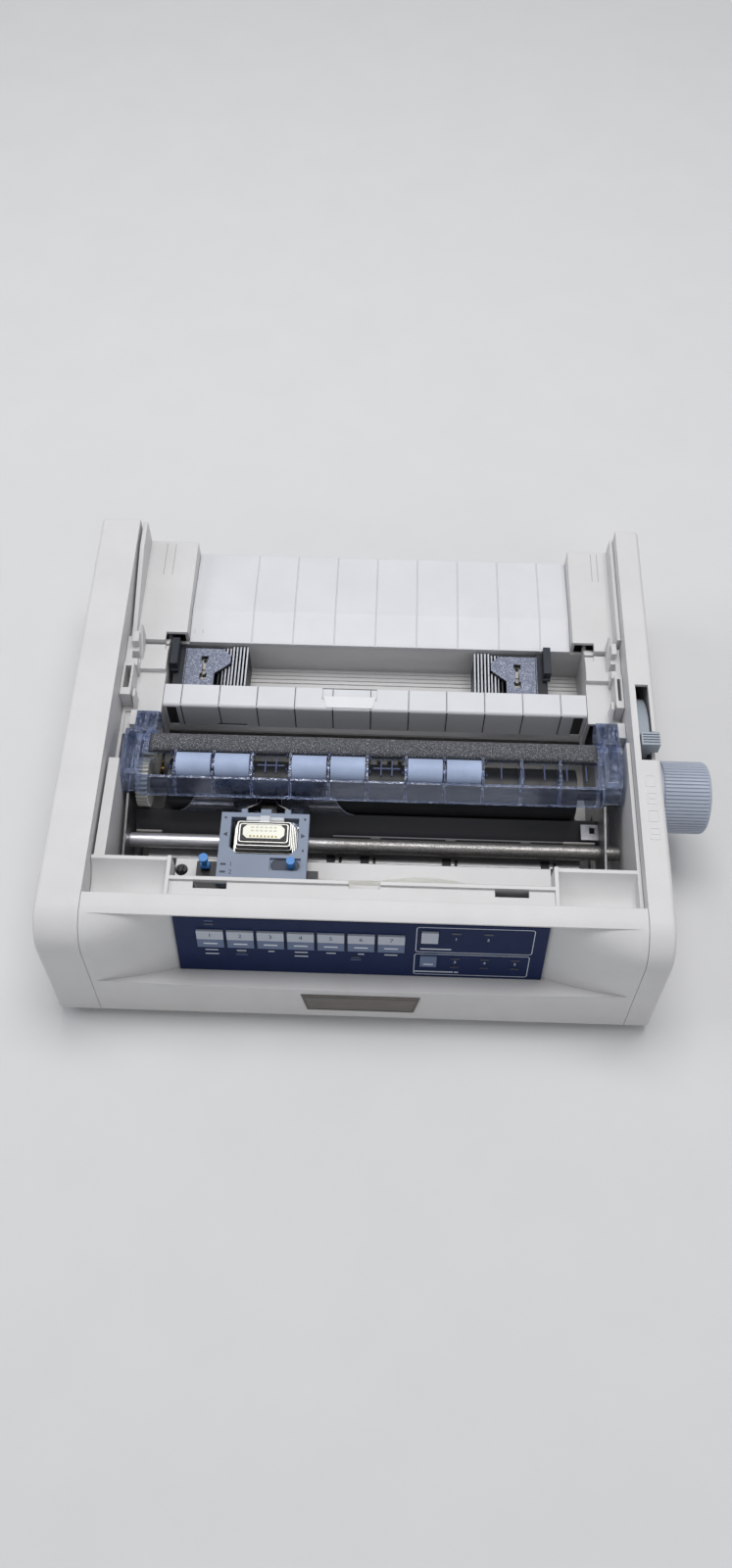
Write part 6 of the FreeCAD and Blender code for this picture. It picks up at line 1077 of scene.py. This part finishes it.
def tractor_belts():
    """The pin belts that show through the lids' slots, with their round pins and holes."""
    belt = plastic("belt_moulding", (206, 203, 194), roughness=0.5, edge=0.2)
    hole = plastic("belt_hole", (22, 23, 26), roughness=0.6, edge=0.0)
    belt_half, belt_low, belt_top = 3.6, 65.2, 66.2
    pins, pin_pitch, pin_radius = 3, 12.7, 1.7
    pin_heights, hole_heights = (66.1, 67.2, 67.6), (66.15, 66.3)
    hole_step, hole_radius = 6.3, 1.5
    front_gap, rear_gap, first_pin = 2.0, 3.0, 6.0
    for side in ("left", "right"):
        body_low, body_high = span(f"{side}_tractor_body")
        middle = centre_x(f"{side}_tractor_sprocket")
        strip = bmesh.new()
        add_box(strip, (middle - belt_half, body_low.y + front_gap, belt_low),
                (middle + belt_half, body_high.y - rear_gap, belt_top), 0.3)
        holes = bmesh.new()
        for number in range(pins):
            y = body_low.y + first_pin + pin_pitch * number
            add_tube(strip, [Vector((middle, y, z)) for z in pin_heights], pin_radius, 14)
            if number < pins - 1:
                add_tube(holes, [Vector((middle, y + hole_step, z)) for z in hole_heights], hole_radius, 14)
        from_bmesh(f"{side}_belt", strip, belt, f"{side}_tractor")
        from_bmesh(f"{side}_belt_holes", holes, hole, f"{side}_tractor")


def bright_strip():
    """The polished strip under the shaft, with dark clips along it."""
    end_gap, front, rear, low, top = 0.4, -73.5, -66.5, 39.6, 40.8
    clip_places, clip_low = (-22.0, 1.5, 58.0, 126.0), 39.2
    left = span("left_side_frame")[1].x + end_gap
    right = span("right_side_frame")[0].x - end_gap
    strip = bmesh.new()
    add_box(strip, (left, front, low), (right, rear, top), 0.2)
    steel = steel_material("bright_strip_steel", (214, 214, 216), roughness=0.3)
    from_bmesh("bright_strip", strip, steel, "chassis")
    clips = bmesh.new()
    for x in clip_places:
        add_box(clips, (x, -74.2, clip_low), (x + 6.0, -68.0, 41.6), 0.3)
        add_box(clips, (x + 8.5, -73.8, clip_low), (x + 10.5, -69.0, 41.4), 0.3)
    black = plastic("clip_moulding", (30, 30, 33), edge=0.2)
    from_bmesh("strip_clips", clips, black, "chassis")


def roller_details():
    """Side clips of the pinch rollers, cross ribs of the open bays and ribs at the unit's right end."""
    clip = plastic("roller_clip_moulding", (50, 60, 98), roughness=0.28, edge=0.15)
    clips = bmesh.new()
    rollers = [span(f"pinch_rollers_{number}") for number in (1, 2, 3)]
    for low, high in rollers:
        middle = (low.x + high.x) / 2
        for x in (low.x - 1.6, middle - 0.9, middle + 0.3, high.x + 1.0):
            for y in (low.y + 2.0, high.y - 4.2):
                add_box(clips, (x, y, high.z - 4.6), (x + 0.6, y + 2.2, high.z - 1.6), 0.12)
    rib_half, rib_front, rib_rear, bay_gap, chamfer = 0.5, -33.0, -21.0, 3.0, 0.15
    bar_front, bar_rear, bar_low, bar_top = -27.6, -26.4, 91.2, 92.0
    for before, after in zip(rollers, rollers[1:]):
        start, end = before[1].x + bay_gap, after[0].x - bay_gap
        for share in (0.3, 0.7):
            x = start + (end - start) * share
            add_box(clips, (x - rib_half, rib_front, 90.6), (x + rib_half, rib_rear, 92.4), chamfer)
        add_box(clips, (start, bar_front, bar_low), (end, bar_rear, bar_top), chamfer)
    for x in (95.0, 110.0, 124.0, 139.0, 152.0):
        add_box(clips, (x - rib_half, rib_front, bar_low), (x + rib_half, rib_rear, 92.2), chamfer)
    from_bmesh("roller_clips", clips, clip, "roller_unit")


def bridge_details():
    """Shadowed grooves, dark end tabs and a dark box as the slit's painted shadow, with light bars below
    them, and a pale flap on top.
    """
    shadow = plastic("bridge_shadow", (66, 67, 72), roughness=0.7, edge=0.0)
    groove_count, first_x, groove_pitch, groove_half = 11, -129.7, 27.0, 0.44
    wall_face, wall_low, wall_top = 29.9, 50.2, 74.6
    deck_front, deck_rear, deck_low, deck_top = 30.6, 47.2, 75.34, 75.44
    tab_width, tab_low, tab_top = 6.7, 51.6, 73.3
    grooves = bmesh.new()
    for number in range(groove_count):
        x = first_x + groove_pitch * number
        add_box(grooves, (x - groove_half, wall_face, wall_low), (x + groove_half, 30.08, wall_top))
        add_box(grooves, (x - groove_half, deck_front, deck_low), (x, deck_rear, deck_top))
    from_bmesh("bridge_groove_shadows", grooves, shadow, "chassis")
    dark = plastic("bridge_tab_and_slit_shadow_moulding", (50, 49, 51), roughness=0.55, edge=0.2)
    tabs = bmesh.new()
    bars = bmesh.new()
    for x in (-140.1, 149.4):
        add_box(tabs, (x, wall_face, tab_low), (x + tab_width, 31.4, tab_top), 0.2)
        add_box(bars, (x + 1.2, 29.3, wall_low), (x + 6.2, 31.0, 51.4), 0.2)
    # Painted shadow: a dark box where the slit is, in the tabs' dark material.
    add_box(tabs, (-105.0, 29.2, 52.4), (-84.0, 29.7, 53.6), 0.1)
    add_box(bars, (-104.6, 28.9, 50.8), (-83.6, 29.8, 52.2), 0.2)
    from_bmesh("bridge_tabs_and_slit_shadow", tabs, dark, "chassis")
    flap = bmesh.new()
    flap_front, flap_rear, flap_height = 31.0, 40.5, 76.0
    corners = ((-28.8, flap_rear), (-26.0, flap_front), (6.2, flap_front), (8.8, flap_rear))
    add_prism(flap, [Vector((x, y, flap_height)) for x, y in corners], Z_AXIS, 0.35)
    pale = plastic("flap_moulding", (222, 222, 224), edge=0.15)
    from_bmesh("bridge_flap", flap, pale, "chassis")
    light = plastic("bar_moulding", (226, 227, 230), edge=0.1)
    from_bmesh("bridge_bars", bars, light, "chassis")


def guide_ledges():
    """Stepped front edge of the lower guide and the small brackets at both of its ends."""
    grey = plastic("ledge_moulding", (92, 92, 96), roughness=0.45, edge=0.2)
    pale = plastic("bracket_moulding", (150, 147, 144), roughness=0.5, edge=0.3)
    low, high = span("platen_guide")
    front, top = low.y, high.z
    ledge = bmesh.new()
    add_box(ledge, (-18.0, front - 0.5, top - 3.6), (150.0, front + 0.6, top - 2.8), 0.15)
    for x in (8.0, 60.0, 112.0):
        add_box(ledge, (x, front - 1.4, top - 6.2), (x + 7.0, front - 0.1, top - 2.9), 0.3)
    from_bmesh("guide_ledge", ledge, grey, "chassis")
    plates = ((low.x + 2.0, low.x + 20.0), (high.x - 24.0, high.x - 2.0))
    blocks = ((low.x + 6.0, low.x + 12.0), (high.x - 20.0, high.x - 8.0))
    brackets = bmesh.new()
    for plate, block in zip(plates, blocks):
        add_box(brackets, (plate[0], front - 1.6, top - 9.0), (plate[1], front - 0.1, top - 1.0), 0.4)
        add_box(brackets, (block[0], front - 2.6, top - 9.0), (block[1], front - 1.5, top - 4.0), 0.4)
    from_bmesh("guide_brackets", brackets, pale, "chassis")


def cable_heights(source):
    """The top of the CAD cable at each x where its mesh has corners, in millimetres."""
    heights = {}
    for vertex in source.vertices:
        x, z = round(vertex.co.x / MM, 2), round(vertex.co.z / MM, 2)
        heights[x] = max(z, heights.get(x, z))
    return sorted(heights.items())


def head_cable():
    """The flat cable as a ribbed band that bends between the carriage and its fixed end."""
    low, high = span("head_cable")
    anchors = cable_heights(NODES["head_cable"].data)
    columns, rows = 120, 22
    thickness, sink, rib = 0.25, 0.2, 0.1
    near = 0.001
    shape = bmesh.new()
    grid = []
    for column in range(columns + 1):
        x = low.x + (high.x - low.x) * column / columns
        before = max(anchor for anchor in anchors if anchor[0] <= x + near)
        after = min(anchor for anchor in anchors if anchor[0] >= x - near)
        share = 0.0 if after[0] == before[0] else (x - before[0]) / (after[0] - before[0])
        z = before[1] + (after[1] - before[1]) * share - sink
        grid.append([shape.verts.new((x, low.y + (high.y - low.y) * row / rows, z + rib * (row % 2)))
                     for row in range(rows + 1)])
    for first, second in zip(grid, grid[1:]):
        for row in range(rows):
            shape.faces.new((first[row], second[row], second[row + 1], first[row + 1]))
    bmesh.ops.solidify(shape, geom=shape.faces[:], thickness=thickness)
    band = plastic("cable_band", (236, 235, 230), roughness=0.45, edge=0.0)
    cable = from_bmesh("head_cable_band", shape, band, None)
    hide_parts("head_cable")
    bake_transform(cable)


# Floor, light and backdrop


def studio():
    """A pale floor in a soft white room, with three area lights aimed at the printer."""
    pale_floor()
    soft_room()
    aim = (0.0, 0.0, 0.05)
    add_light("ceiling_light", (0.12, 0.42, 1.95), aim, 1.2, 0.8, 23.0, (1.0, 0.99, 0.985))
    add_light("side_light", (-1.5, 0.1, 1.3), aim, 1.0, 1.0, 7.0, (0.93, 0.96, 1.0))
    add_light("front_light", (0.9, -1.5, 1.0), aim, 1.2, 0.8, 2.4, (0.95, 0.97, 1.0))


def pale_floor():
    floor_mesh = bpy.data.meshes.new("floor")
    reach = 6.0
    corners = [(-reach, -reach, 0), (reach, -reach, 0), (reach, reach, 0), (-reach, reach, 0)]
    floor_mesh.from_pydata(corners, [], [(0, 1, 2, 3)])
    floor = bpy.data.objects.new("floor", floor_mesh)
    bpy.context.collection.objects.link(floor)
    look = Surface("pale_floor")
    tone = look.mix(look.noise(60.0), (0.64, 0.64, 0.64, 1), (0.68, 0.68, 0.68, 1))
    look.paint(color=tone, roughness=0.9, specular=0.1)
    floor_mesh.materials.append(look.material)


def soft_room():
    """Dim cool light from all around, and plain white where the camera sees past the floor."""
    room_strength = 0.43
    world = bpy.data.worlds.new("soft_room")
    bpy.context.scene.world = world
    world.use_nodes = True
    nodes, links = world.node_tree.nodes, world.node_tree.links
    room = nodes["Background"]
    room.inputs["Color"].default_value = (0.93, 0.96, 1.0, 1)
    room.inputs["Strength"].default_value = room_strength
    white = nodes.new("ShaderNodeBackground")
    white.inputs["Color"].default_value = (1, 1, 1, 1)
    white.inputs["Strength"].default_value = 1.0
    path = nodes.new("ShaderNodeLightPath")
    mix = nodes.new("ShaderNodeMixShader")
    links.new(path.outputs["Is Camera Ray"], mix.inputs[0])
    links.new(room.outputs[0], mix.inputs[1])
    links.new(white.outputs[0], mix.inputs[2])
    links.new(mix.outputs[0], nodes["World Output"].inputs["Surface"])


def add_light(name, place, target, width, depth, power, colour):
    data = bpy.data.lights.new(name, "AREA")
    data.shape = "RECTANGLE"
    data.size, data.size_y = width, depth
    data.energy = power
    data.color = colour
    light = bpy.data.objects.new(name, data)
    bpy.context.collection.objects.link(light)
    light.location = place
    light.rotation_euler = (Vector(place) - Vector(target)).to_track_quat("Z", "Y").to_euler()


make_camera()
studio()
paint_nodes()
panel_details()
badge_details()
shelf_grooves()
raised_marks()
foam_pad()
ribbon()
head_cap()
cartridge_marks()
tractor_belts()
bright_strip()
roller_details()
guide_ledges()
bridge_details()
case_screws()
labels_left_bare()
head_cable()

scene = bpy.context.scene
scene.view_settings.view_transform = "Standard"
bpy.context.view_layer.update()
